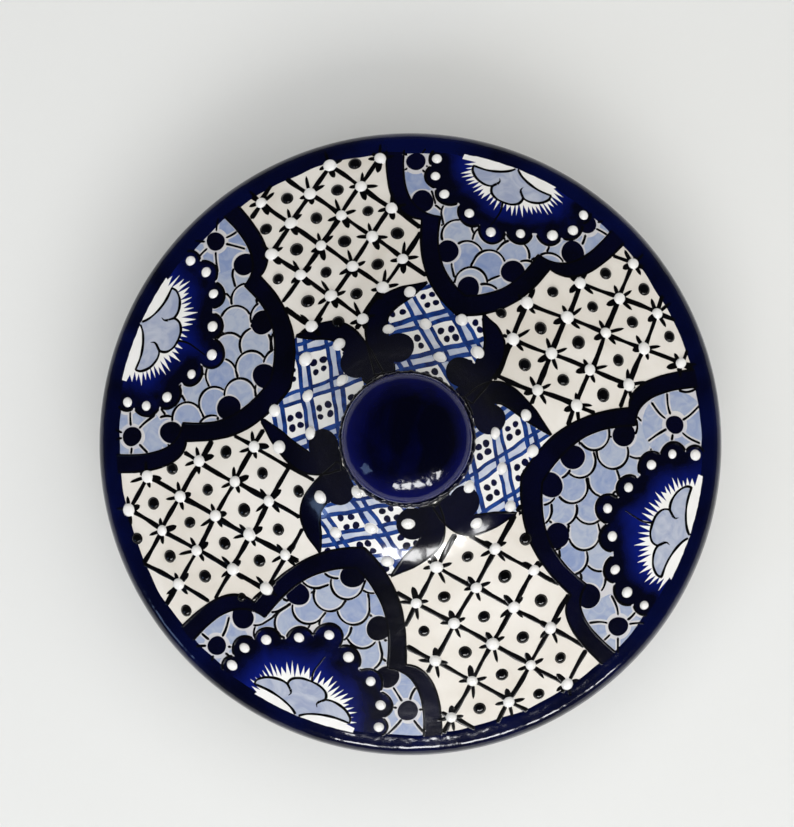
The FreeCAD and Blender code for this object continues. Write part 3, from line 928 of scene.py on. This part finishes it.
def paint_petal(batches, skin, petal, band_places, lobe_places):
    """Paints one whole petal: band, scales, lobes, discs, fan, burst, flower, and its raised black lines."""
    unit = petal.unit
    fan_line = fan_curve(petal, 0.0, 81)
    fan_edge = fan_outline(petal, 0.0)
    scallops = fan_scallops(petal)
    burst = sunburst_outline(petal)
    flower = flower_outline(petal)
    lobe_discs = place_discs(petal, lobe_places, LOBE_DISC_RADIUS, None)
    discs = place_discs(petal, band_places, BAND_DISC_RADIUS, DISC_FROM_BAND) + lobe_discs
    rooms = [circle(centre, LOBE_ROOM * unit, 30) for centre, _ in lobe_discs]
    spokes = [(room, lobe_spokes(petal, centre, room)) for room, (centre, _) in zip(rooms, lobe_discs)]
    wash_room = petal_outline(petal, petal.band + 0.7 * unit)

    def fan_tone(points):
        gap = span(points[:, None] - fan_line[None, :]).min(axis=1)
        return np.where(inside(points, fan_edge), np.clip((gap / unit - 3.5) / 10.5, 0.0, 1.0), 0.0)

    def pale(outline, clip=petal.inner):
        return Shape("pale", outline, PALE_COAT, clip=clip)
    shapes = [Shape("flower", flower, FLOWER_COAT), Shape("white", burst, WHITE_COAT, clip=fan_edge),
              Shape("fan", fan_edge, FAN_COAT, fan_tone)]
    shapes += [Shape("fan", scallop, FAN_COAT, 0.0) for scallop in scallops]
    shapes += [Shape("navy", outline, NAVY_COATS["disc"]) for _, outline in discs]
    shapes += [pale(blob(centre, 6.4 * unit, 28, 0.02)) for centre, _ in discs]
    shapes += [pale(circle(scallop.mean(0), 7.5 * unit, 26)) for scallop in scallops]
    for room, lines in spokes:
        shapes += [pale(ribbon(line, 1.3 * unit), room) for line in lines]
        shapes.append(Shape("wash", room, WASH_COAT, rng.uniform(0.3, 0.6), wash_room))
    scales, kept = scale_shapes(petal, [fan_edge] + rooms, wash_room)
    shapes += scales
    shapes += [pale(petal.inner, None), Shape("navy", petal.outer, NAVY_COATS["band"])]
    fill(batches, skin, shapes, 2.6 * unit)

    def draw(points, kind, visible):
        line_work(batches["black"], skin, points, kind, visible, unit)

    def visible(points, within=(), hidden=(), reach=math.inf):
        return (np.all([inside(points, outline) for outline in within] + [clear_of(hidden, points)], axis=0)
                & (span(points) < reach))
    blockers = [fan_edge] + scallops + [outline for _, outline in discs]
    for index, outline in enumerate(kept):
        shown = partial(visible, within=[petal.inner], hidden=kept[:index] + blockers + rooms)
        draw(np.vstack((outline[-2:], outline)), SCALE_LINE, shown)
    for room, lines in spokes:
        shown = partial(visible, within=[petal.inner, room], hidden=blockers)
        for line in lines:
            draw(line, SPOKE_LINE, shown)
    for index, scallop in enumerate(scallops):
        others = scallops[:index] + scallops[index + 1:] + [fan_edge]
        shown = partial(visible, hidden=others, reach=petal.rim + 1.0)
        draw(closed(scallop), SCALLOP_LINE, shown)
    under_rim = partial(visible, reach=petal.rim + 1.2)
    for outline, kind in ((petal.outer, OUTER_LINE), (petal.inner, INNER_LINE), (flower, FLOWER_LINE)):
        draw(closed(outline), kind, under_rim)
    seam = [(0.4, 18.4), (-0.3, 23.0), (0.5, 28.0), (1.6, 33.0)]
    curls = [[(hand * 6.0, 10.4), (hand * 5.3, 8.6), (hand * 5.9, 6.9)] for hand in (-1.0, 1.0)]
    for corners, thick, thin, rise in ((curls[0], 0.75, 0.15, 0.35), (curls[1], 0.75, 0.15, 0.35),
                                       (seam, 0.6, 0.25, 0.25)):
        line = rim_frame(petal)(spline(corners, 8), petal.flower)
        stroke(batches["black"], skin, line, np.linspace(thick, thin, len(line)) * unit, 0.2, rise * unit)


# ---- trellis panels ----

def outside_petals(points, petals):
    """True away from every petal's outer outline."""
    return clear_of([petal.outer for petal in petals], points)


TRELLIS_REACH = 6
PANEL_HALF_ANGLE = 44.0
PANEL_START = 44.0
CROSSING_MISS = 0.12


def trellis_lines(batch, skin, cell_point, visible):
    """Both families of brush lines of a trellis, each laid as separate strokes from crossing to crossing."""
    share = np.linspace(-0.03, 1.03, 26)[:, None]
    for line in range(-TRELLIS_REACH, TRELLIS_REACH + 1):
        for step in range(-TRELLIS_REACH, TRELLIS_REACH):
            for start, end in ((cell_point(step, line), cell_point(step + 1, line)),
                               (cell_point(line, step), cell_point(line, step + 1))):
                run = end - start
                sideways = np.array((-run[1], run[0])) / span(run)
                drift = (rng.uniform(-0.5, 0.5) + rng.uniform(-0.7, 0.7) * (share - 0.5)
                         + rng.uniform(-0.45, 0.45) * np.sin(math.pi * share))
                kind = (rng.uniform(0.95, 1.25), 0.04, 0.3, 0.8)
                line_work(batch, skin, start + run * share + sideways * drift, kind, visible)


TICK_TAPER = np.array((0.7, 0.8, 0.9, 1.0, 1.0, 0.98, 0.9, 0.68, 0.12))


def ticks(batch, skin, crossing, size):
    """Four short strokes round a crossing; the one towards the middle is the boldest."""
    heading = azimuth_of(crossing)[0] + 180.0
    share = np.linspace(0.0, 1.0, len(TICK_TAPER))[:, None]
    for turn, length, width in ((0.0, 6.9, 1.5), (90.0, 7.2, 0.95), (180.0, 8.2, 0.85), (270.0, 6.8, 1.0)):
        direction = polar(1.0, heading + turn + rng.uniform(-16.0, 16.0))
        reach = size * length * rng.uniform(0.8, 1.15)
        bow = np.array((-direction[1], direction[0])) * rng.uniform(-0.7, 0.7) * size
        points = crossing + direction * share * reach + bow * np.sin(share * 2.2)
        stroke(batch, skin, points, TICK_TAPER * size * width, 0.04, 0.34 * size)


# ---- scrolls and plaid round the knob ----

class Scroll:
    """A scroll: a ball by the collar, and a horn that wraps past the plaid and tapers to a petal."""

    def __init__(self, ball_azimuth, ball_radius, foot, shoulder, shoulder_radius, tip, tip_radius):
        self.ball = polar(ball_radius, ball_azimuth)
        self.disc = blob(self.ball, BALL_RADIUS, 30, 0.03)
        self.spine = spline((polar(HORN_FOOT_RADIUS, foot), polar(shoulder_radius, shoulder),
                             polar(tip_radius, tip)), 18)
        share = np.linspace(0.0, len(HORN_HALF_WIDTHS) - 1.0, len(self.spine))
        self.horn = ribbon(self.spine, np.interp(share, range(len(HORN_HALF_WIDTHS)), HORN_HALF_WIDTHS))


def plaid_shapes(plaid, patch):
    """Blue plaid: four dots in each white square, and pairs of stripes with a tint between the squares."""
    azimuth, radius, first_step, first_heading, second_step, second_heading = plaid
    square = polar(radius, azimuth)
    first = polar(first_step, first_heading)
    second = polar(second_step, second_heading)
    dots = []
    for column in range(-4, 5):
        for row in range(-4, 5):
            middle = square + column * first + row * second
            if span(middle - square) > 75.0:
                continue
            for along, across in ((-2.2, -2.2), (-2.2, 2.2), (2.2, -2.2), (2.2, 2.2)):
                spot = (middle + (along + rng.uniform(-0.4, 0.4)) * (first / first_step)
                        + (across + rng.uniform(-0.4, 0.4)) * (second / second_step))
                dots.append(Shape("dot", blob(spot, rng.uniform(1.35, 1.8), 12, 0.08), 0.16, clip=patch))
    stripes = []
    tints = []
    steps = np.linspace(-4.0, 4.0, 44)[:, None]
    for line in range(-4, 4):
        for along, side in ((first, second), (second, first)):
            run = square + side * (line + 0.5) + along * steps
            for shift in (-2.3, 2.3):
                edge = wavering(run + side / span(side) * (shift + rng.uniform(-0.4, 0.4)), 0.35, 21.0)
                outline = ribbon(edge, rng.uniform(0.8, 1.25))
                stripes.append(Shape("stripe", outline, 0.12, rng.uniform(0.2, 0.8), clip=patch))
            tints.append(Shape("tint", ribbon(run, 2.3), 0.09, clip=patch))
    return dots + stripes + tints


def paint_middle(batches, skin, petals, scrolls):
    """Paints the scrolls and the plaid patch between each pair of them."""
    shapes = [Shape(None, petal.outer, 0.0) for petal in petals]
    shapes += [Shape("navy", scroll.disc, NAVY_COATS["ball"]) for scroll in scrolls]
    shapes += [Shape("navy", scroll.horn, NAVY_COATS["horn"]) for scroll in scrolls]
    for plaid, right, left in zip(PLAIDS, scrolls[::2], scrolls[1::2]):
        ends = np.unwrap(np.radians([azimuth_of(right.spine[0])[0], azimuth_of(left.spine[0])[0]]))
        ring = [polar(RING_RADIUS, angle) for angle in np.degrees(np.linspace(ends[1], ends[0], 12))]
        patch = np.vstack((right.spine, left.spine[::-1], ring))
        shapes += plaid_shapes(plaid, patch)
        shapes.append(Shape("white", patch, 0.07))
    fill(batches, skin, shapes, 2.4)

    def visible(points, disc):
        return outside_petals(points, petals) & (span(points) > RING_RADIUS) & ~inside(points, disc)
    for scroll in scrolls:
        beside = partial(visible, disc=scroll.disc)
        line_work(batches["black"], skin, closed(scroll.horn), HORN_LINE, beside)


# ---- slip dots ----

DROP_SECTION = ((1.16, -0.03), (1.06, 0.05), (1.0, 0.16), (0.965, 0.34), (0.88, 0.56), (0.72, 0.77),
                (0.5, 0.91), (0.25, 0.98))
DROP_SIDES = 22


def drop(batch, foot, normal, radius, rise):
    """A dot of slip: a slightly uneven drop whose foot flows out into the glaze."""
    normal = normal / np.linalg.norm(normal)
    first = np.cross(normal, (0.31, 0.87, 0.38))
    first /= np.linalg.norm(first)
    second = np.cross(normal, first)
    up = normal + first * rng.uniform(-0.1, 0.1) + second * rng.uniform(-0.1, 0.1)
    turn = full_turn(DROP_SIDES)
    wobble = 1.0 + rng.uniform(0.0, 0.05) * np.sin(2 * turn + random_turn())
    ring = np.outer(np.cos(turn) * wobble, first) + np.outer(np.sin(turn) * wobble, second)
    points = np.vstack([foot + ring * radius * out + up * rise * share for out, share in DROP_SECTION]
                       + [foot + up * rise])
    top = len(points) - 1
    rings = [range(start, start + DROP_SIDES) for start in range(0, top, DROP_SIDES)] + [[top] * DROP_SIDES]
    faces = [face[1:] + face[:1] for lower, upper in zip(rings, rings[1:])
             for face in ring_faces(upper, lower)]
    slopes = np.zeros((len(points), 3))
    for face in faces:
        a, b, c = points[list(face[:3])]
        slopes[list(face)] += np.cross(b - a, c - a)
    batch.add(points, normalised(slopes), faces, MIDDLE_TONE)


def node_islands(node):
    """Middles, in millimetres, of the separate solids in a CAD node."""
    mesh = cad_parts[node].data
    where = np.array([vertex.co for vertex in mesh.vertices], float) / MM
    _, merged = np.unique(np.round(where, 3), axis=0, return_inverse=True)
    merged = merged.reshape(-1).tolist()
    parent = list(range(max(merged) + 1))

    def root(index):
        while parent[index] != index:
            parent[index] = parent[parent[index]]
            index = parent[index]
        return index
    for edge in mesh.edges:
        a, b = (root(merged[vertex]) for vertex in edge.vertices)
        parent[a] = b
    groups = {}
    for index, spot in zip(merged, where):
        groups.setdefault(root(index), []).append(spot)
    middles = [(np.min(spots, axis=0) + np.max(spots, axis=0)) / 2.0 for spots in groups.values()]
    return np.array(sorted(middles, key=lambda middle: tuple(np.round(middle[:2], 2))))


# ---- build the pot ----

lid_skin = Skin(LID_PROFILE, (30.5, 118.0), (149.4, 65.0), 1.0, False, lid_shift)
dish_skin = Skin(DISH_PROFILE, (92.0, 8.0), (140.5, 46.0), -1.0, True, dish_shift)

WALL_SEGMENTS = 384
COLOURS = ("white", "navy", "fan", "black", "wash", "pale", "flower", "tint", "stripe", "dot")


def build_turned(stretches, shift, body, node):
    """The stretches of a turned wall, each with its own finish, in place of the CAD's one piece."""
    for name, look, line in stretches:
        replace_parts(lathe(name, line, False, WALL_SEGMENTS, shift, look, body), node)


def build_lid():
    """The lid: glazed outside and inside, bare clay seat and flange, cobalt rim and the painting.

    Returns its petals.
    """
    whole = turned_line(LID_PROFILE, 1.8, True)
    seat_start = nearest(whole, RIM_FOOT)
    flange_end = nearest(whole, (125.5, 60.0))
    build_turned([("lid_glazed_outside", "cream", whole[:seat_start + 1]),
                  ("lid_clay_seat", "clay", whole[seat_start:flange_end + 1]),
                  ("lid_glazed_inside", "cream", np.vstack((whole[flange_end:], whole[:1])))],
                 lid_shift, "lid", "lid_shell")
    petals = [Petal(*settings, LID_RIM_BAND, LID_CUSP_RADIUS, 1.0) for settings in PETALS]
    scrolls = [Scroll(*places) for places in SCROLLS]
    batches = {colour: Batch() for colour in COLOURS}
    for petal, (band_places, lobe_places) in zip(petals, PETAL_DISCS):
        paint_petal(batches, lid_skin, petal, band_places, lobe_places)
    paint_middle(batches, lid_skin, petals, scrolls)
    crossings = node_islands("white_slip_beads")[:, :2]
    blocks = [petal.outer for petal in petals] + [scroll.horn for scroll in scrolls]
    blocks += [scroll.disc for scroll in scrolls]
    blocks += [np.vstack((right.spine, left.spine[::-1])) for right, left in zip(scrolls[::2], scrolls[1::2])]

    def on_panel(points, panel):
        near = angle_between(azimuth_of(points), panel) < PANEL_HALF_ANGLE
        radius = span(points)
        return clear_of(blocks, points) & near & (radius < LID_RIM_BAND + 0.6) & (radius > PANEL_START)
    for radius, azimuth, first_side, first_heading, second_side, second_heading in TRELLISES:
        corner = polar(radius, azimuth)
        sides = np.column_stack((polar(first_side, first_heading), polar(second_side, second_heading)))

        def cell_point(along, across, corner=corner, sides=sides):
            return corner + along * sides[:, 0] + across * sides[:, 1]
        visible = partial(on_panel, panel=azimuth)
        trellis_lines(batches["black"], lid_skin, cell_point, visible)
        for spot in crossings:
            cell = np.linalg.solve(sides, spot - corner)
            if np.all(np.abs(cell - np.round(cell)) < CROSSING_MISS) and visible(spot[None, :])[0]:
                ticks(batches["black"], lid_skin, spot, 1.0)
    finish_painting("lid", batches, "lid")
    rim = stretch(turned_line(LID_PROFILE, 0.8, True), (LID_RIM_BAND, 68.8), RIM_FOOT)
    build_band("lid_rim_glaze", rim, lid_shift, False, "lid")
    return petals


GLAZE_DEPTH = 0.27
BAND_SEGMENTS = 512
RIM_FOOT = (148.2, 58.0)


def finish_painting(prefix, batches, body):
    """One piece for each colour that has been used."""
    for colour, batch in batches.items():
        if batch.total:
            finish_batch(prefix + "_paint_" + colour, batch, colour, body)


def build_band(name, line, shift, edge_last, body):
    """A thick band of cobalt glaze along a stretch of profile. Its edge by the painting is drawn by hand."""
    angles = full_turn(BAND_SEGMENTS)
    side = 1.0
    if edge_last:
        line = line[::-1]
        side = -1.0
    outward = side * left_of(line)
    tangent = side * np.column_stack((outward[:, 1], -outward[:, 0]))
    sway = sum(reach * np.sin(waves * angles + turn)
               for reach, waves, turn in ((0.35, 7, 0.4), (0.28, 17, 2.0), (0.2, 31, 0.0), (0.14, 53, 1.0)))
    rows = [(0, -0.06, -0.9), (0, 0.14, -0.7), (1, 0.24, -0.3)]
    rows += [(index, GLAZE_DEPTH, 0.0) for index in range(2, len(line))]
    rows.append((len(line) - 1, -0.05, 0.0))
    points = []
    for index, offset, lead in rows:
        radius, height = line[index]
        drift = lead + sway if lead else 0.0
        moved = offset + shift(radius, angles, height)
        out = radius + tangent[index, 0] * drift + outward[index, 0] * moved
        points.extend(zip(out * np.cos(angles), out * np.sin(angles),
                          height + tangent[index, 1] * drift + outward[index, 1] * moved))
    rings = [range(start, start + BAND_SEGMENTS) for start in range(0, len(points), BAND_SEGMENTS)]
    faces = [face[::-1] if edge_last else face for upper, lower in zip(rings, rings[1:])
             for face in ring_faces(upper, lower)]
    make_object(name, np.array(points), faces, "cobalt", body)


FAN_DOT_SHARE = 0.82
DOT_LIFT = 0.08


def build_dots(petals):
    """White and black slip dots in the places of the CAD's. Those round the fans are smaller."""
    for colour, radius, rise in (("white", 2.8, 1.9), ("black", 2.6, 1.65)):
        batch = Batch()
        for spot in node_islands(colour + "_slip_beads"):
            plan = spot[None, :2]
            share = 1.0 if outside_petals(plan, petals)[0] else FAN_DOT_SHARE
            drop(batch, lid_skin.lift(plan, DOT_LIFT)[0], lid_skin.normals(plan)[0],
                 share * radius * rng.uniform(0.9, 1.1), share * rise * rng.uniform(0.85, 1.12))
        dots = finish_batch(colour + "_slip_dots", batch, colour, "lid", colour + "_slip")
        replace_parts(dots, colour + "_slip_beads")


def knob_shift(radius, angles, height):
    """Slight lopsidedness of the knob."""
    sway = 0.12 * np.sin(2 * angles + 0.7) + 0.05 * np.sin(5 * angles + height / 4.0)
    return sway * min(1.0, radius / 20.0)


def collar_shift(radius, angles, height):
    """Tooled, slightly ropey edge of the collar."""
    edge = min(1.0, max(0.0, (radius - 27.0) / 3.0))
    return edge * (0.22 * np.sin(31 * angles + 1.5 * np.sin(3 * angles)) + 0.2 * np.sin(67 * angles + 0.6))


def build_knob():
    """Knob and collar. The knob's glaze is painted a brighter blue down its flank, which is painted light."""
    knob = lathe("knob_turned", turned_line(KNOB_PROFILE, 1.2, False), False, 192, knob_shift, "knob", "lid")
    heights = np.array([corner.co.z for corner in knob.data.vertices]) / MM
    # Painted light: the tone rises from the crown down the flank, so the knob is painted a brighter blue low
    # down, where light falls on it.
    set_tones(knob, np.clip((147.5 - heights) / 9.0, 0.0, 1.0))
    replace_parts(knob, "lid_knob")
    collar = lathe("collar_turned", turned_line(COLLAR_PROFILE, 0.8, True)[::-1], True, 288, collar_shift,
                   "knob", "lid")
    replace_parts(collar, "knob_collar")


DISH_PETALS = 6
DISH_UNIT = 0.6
DISH_RIM_BAND = 149.0
DISH_FOOT_BAND = 97.0
DISH_TRELLIS_CELLS = 42
DISH_TRELLIS_ROWS = 12


def dish_petal(azimuth):
    """A petal that hangs from the dish's rim towards its foot, laid out on the unrolled wall."""
    return Petal(azimuth, 16.5, 13.0, 103.0, azimuth, 129.0, 0.95, (1.0, 0.95), 0.0, DISH_RIM_BAND, 129.0,
                 DISH_UNIT)


def paint_dish(batches, petals):
    """The dish's petals, and the trellis that fills the wall between them."""
    band_places = [(-10.2, 140.0), (-8.0, 119.5), (0.0, 110.0), (8.0, 119.5), (10.2, 140.0)]
    for petal in petals:
        paint_petal(batches, dish_skin, petal, band_places, [(-12.4, 145.0), (12.4, 145.0)])

    def crossing(column, row):
        return polar(DISH_FOOT_BAND + (DISH_RIM_BAND - DISH_FOOT_BAND) * row / DISH_TRELLIS_ROWS,
                     column * (180.0 / DISH_TRELLIS_CELLS))

    def visible(points):
        radius = span(points)
        return outside_petals(points, petals) & (radius > DISH_FOOT_BAND) & (radius < DISH_RIM_BAND)
    share = np.linspace(0.0, 1.0, 12)[:, None]
    for column in range(2 * DISH_TRELLIS_CELLS):
        for row in range(DISH_TRELLIS_ROWS + 1):
            start = crossing(column, row)
            shown = visible(start[None, :])[0]
            if (column + row) % 2:
                if shown:
                    fill(batches, dish_skin, [Shape("black", blob(start, 1.3, 14, 0.05), 0.14)], 3.0)
                continue
            for hand in (-1, 1):
                run = wavering(start + (crossing(column + hand, row + 1) - start) * share, 0.15, 9.0)
                line_work(batches["black"], dish_skin, run, DISH_TRELLIS_LINE, visible)
            if shown:
                ticks(batches["black"], dish_skin, start, 0.42)


def build_dish():
    """The dish: glazed bowl, bare clay foot and seat, cobalt bands and the painting between them."""
    whole = turned_line(DISH_PROFILE, 1.8, False)
    foot_end = nearest(whole, (87.0, 0.3))
    seat_start = nearest(whole, RIM_FOOT)
    seat_end = nearest(whole, (134.5, 49.5))
    build_turned([("dish_glazed_outside", "cream", whole[foot_end:seat_start + 1][::-1]),
                  ("dish_glazed_inside", "cream", whole[seat_end:][::-1]),
                  ("dish_clay_foot", "clay", whole[:foot_end + 1][::-1]),
                  ("dish_clay_seat", "clay", whole[seat_start:seat_end + 1][::-1])],
                 dish_shift, "base", "base_dish")
    batches = {colour: Batch() for colour in COLOURS}
    paint_dish(batches, [dish_petal(30.0 + 360.0 * index / DISH_PETALS) for index in range(DISH_PETALS)])
    finish_painting("dish", batches, "base")
    fine = turned_line(DISH_PROFILE, 0.8, False)
    build_band("dish_rim_glaze", stretch(fine, (137.0, 41.8), RIM_FOOT)[::-1], dish_shift, True, "base")
    build_band("dish_foot_glaze", stretch(fine, (87.6, 0.8), (94.0, 8.4))[::-1], dish_shift, False, "base")


lid_petals = build_lid()
build_dots(lid_petals)
build_knob()
build_dish()


# ---- studio ----

LAMP_TARGET = Vector((0.0, 0.0, 0.08))
ROOM_REACH = 6.0
WALL_SIDES = 96


def build_floor():
    """A wide pale table top, with a plain upright wall all round it, far off."""
    table = bpy.data.meshes.new("floor")
    corners = [(-ROOM_REACH, -ROOM_REACH, 0.0), (ROOM_REACH, -ROOM_REACH, 0.0), (ROOM_REACH, ROOM_REACH, 0.0),
               (-ROOM_REACH, ROOM_REACH, 0.0)]
    table.from_pydata(corners, [], [(0, 1, 2, 3)])
    wall = bpy.data.meshes.new("backdrop")
    edge = circle((0.0, 0.0), ROOM_REACH * 0.98, WALL_SIDES)
    faces = list(ring_faces(range(WALL_SIDES, 2 * WALL_SIDES), range(WALL_SIDES)))
    wall.from_pydata([(*spot, height) for height in (0.0, 3.0) for spot in edge], [], faces)
    material = bpy.data.materials.new("floor_paint")
    material.use_nodes = True
    shader = material.node_tree.nodes["Principled BSDF"]
    shader.inputs["Base Color"].default_value = (0.76, 0.765, 0.75, 1.0)
    shader.inputs["Roughness"].default_value = 0.6
    shader.inputs["Specular IOR Level"].default_value = 0.15
    for name, mesh in (("floor", table), ("backdrop", wall)):
        mesh.materials.append(material)
        piece = new_object(name, mesh)
        piece.visible_glossy = name == "floor"


def area_light(name, azimuth, elevation, distance, width, height, power, colour):
    """Rectangular lamp at an azimuth, elevation and distance from the lid, turned towards it."""
    data = bpy.data.lights.new(name, "AREA")
    data.shape = "RECTANGLE"
    data.size = width
    data.size_y = height
    data.energy = power
    data.color = colour
    lamp = new_object(name, data)
    away = Vector((*(polar(math.cos(math.radians(elevation)), azimuth)), math.sin(math.radians(elevation))))
    lamp.location = LAMP_TARGET + away * distance
    lamp.rotation_euler = (-away).to_track_quat("-Z", "Y").to_euler()
    return lamp


def build_world():
    """Dim room light, darkest overhead where the glaze mirrors it."""
    world = bpy.data.worlds.new("room")
    bpy.context.scene.world = world
    world.use_nodes = True
    tree = world.node_tree
    where = add_node(tree, "TexCoord", {}, {})
    split = add_node(tree, "SeparateXYZ", {}, {"Vector": where.outputs["Generated"]})
    ramp = add_node(tree, "ValToRGB", {}, {"Fac": split.outputs["Z"]})
    stops = ramp.color_ramp.elements
    stops[0].color = (0.12, 0.12, 0.12, 1.0)
    stops[1].color = (0.018, 0.019, 0.022, 1.0)
    for position, level in ((0.3, 0.09), (0.6, 0.035)):
        stops.new(position).color = (level, level, level * 1.03, 1.0)
    tree.links.new(ramp.outputs["Color"], tree.nodes["Background"].inputs["Color"])


# Panes of the window: azimuth, elevation, width, height in metres and power.
WINDOW_PANES = [
    (260.0, 30.0, 0.2, 0.26, 4.0), (271.0, 31.5, 0.24, 0.3, 6.0), (284.0, 30.5, 0.26, 0.26, 5.6),
    (297.0, 28.5, 0.14, 0.26, 2.8), (309.0, 30.0, 0.18, 0.22, 3.0),
]


def build_lights():
    """A wide soft ceiling lamp, and a low window on the front side that mainly shows in the glaze."""
    ceiling = area_light("ceiling", 320.0, 82.0, 4.5, 9.0, 9.0, 330.0, (1.0, 0.995, 0.985))
    glow = area_light("window_glow", 275.0, 42.0, 2.2, 1.7, 1.0, 21.0, (1.0, 1.0, 1.0))
    for lamp in (ceiling, glow):
        lamp.visible_glossy = False
    for index, (azimuth, elevation, width, height, power) in enumerate(WINDOW_PANES):
        pane = area_light("window_%d" % index, azimuth, elevation, 1.7, width, height, power, (1.0, 1.0, 1.0))
        pane.visible_diffuse = False
    area_light("side_window", 216.0, 26.0, 1.9, 0.3, 0.4, 1.5, (0.4, 0.6, 1.0))


def build_camera():
    """Hand-held view from almost straight above."""
    data = bpy.data.cameras.new("camera")
    camera = new_object("camera", data)
    eye = Vector((0.011, -0.017, 0.861))
    target = Vector((-0.0058, 0.0136, 0.061))
    camera.location = eye
    forward = (target - eye).normalized()
    right = forward.cross(Vector((0.0, 1.0, 0.0))).normalized()
    camera.rotation_euler = Matrix((right, right.cross(forward), -forward)).transposed().to_euler()
    data.sensor_fit = "HORIZONTAL"
    data.sensor_width = 36.0
    data.lens = 75.3
    bpy.context.scene.camera = camera


build_floor()
build_world()
build_camera()
build_lights()
bpy.context.scene.view_settings.view_transform = "Standard"
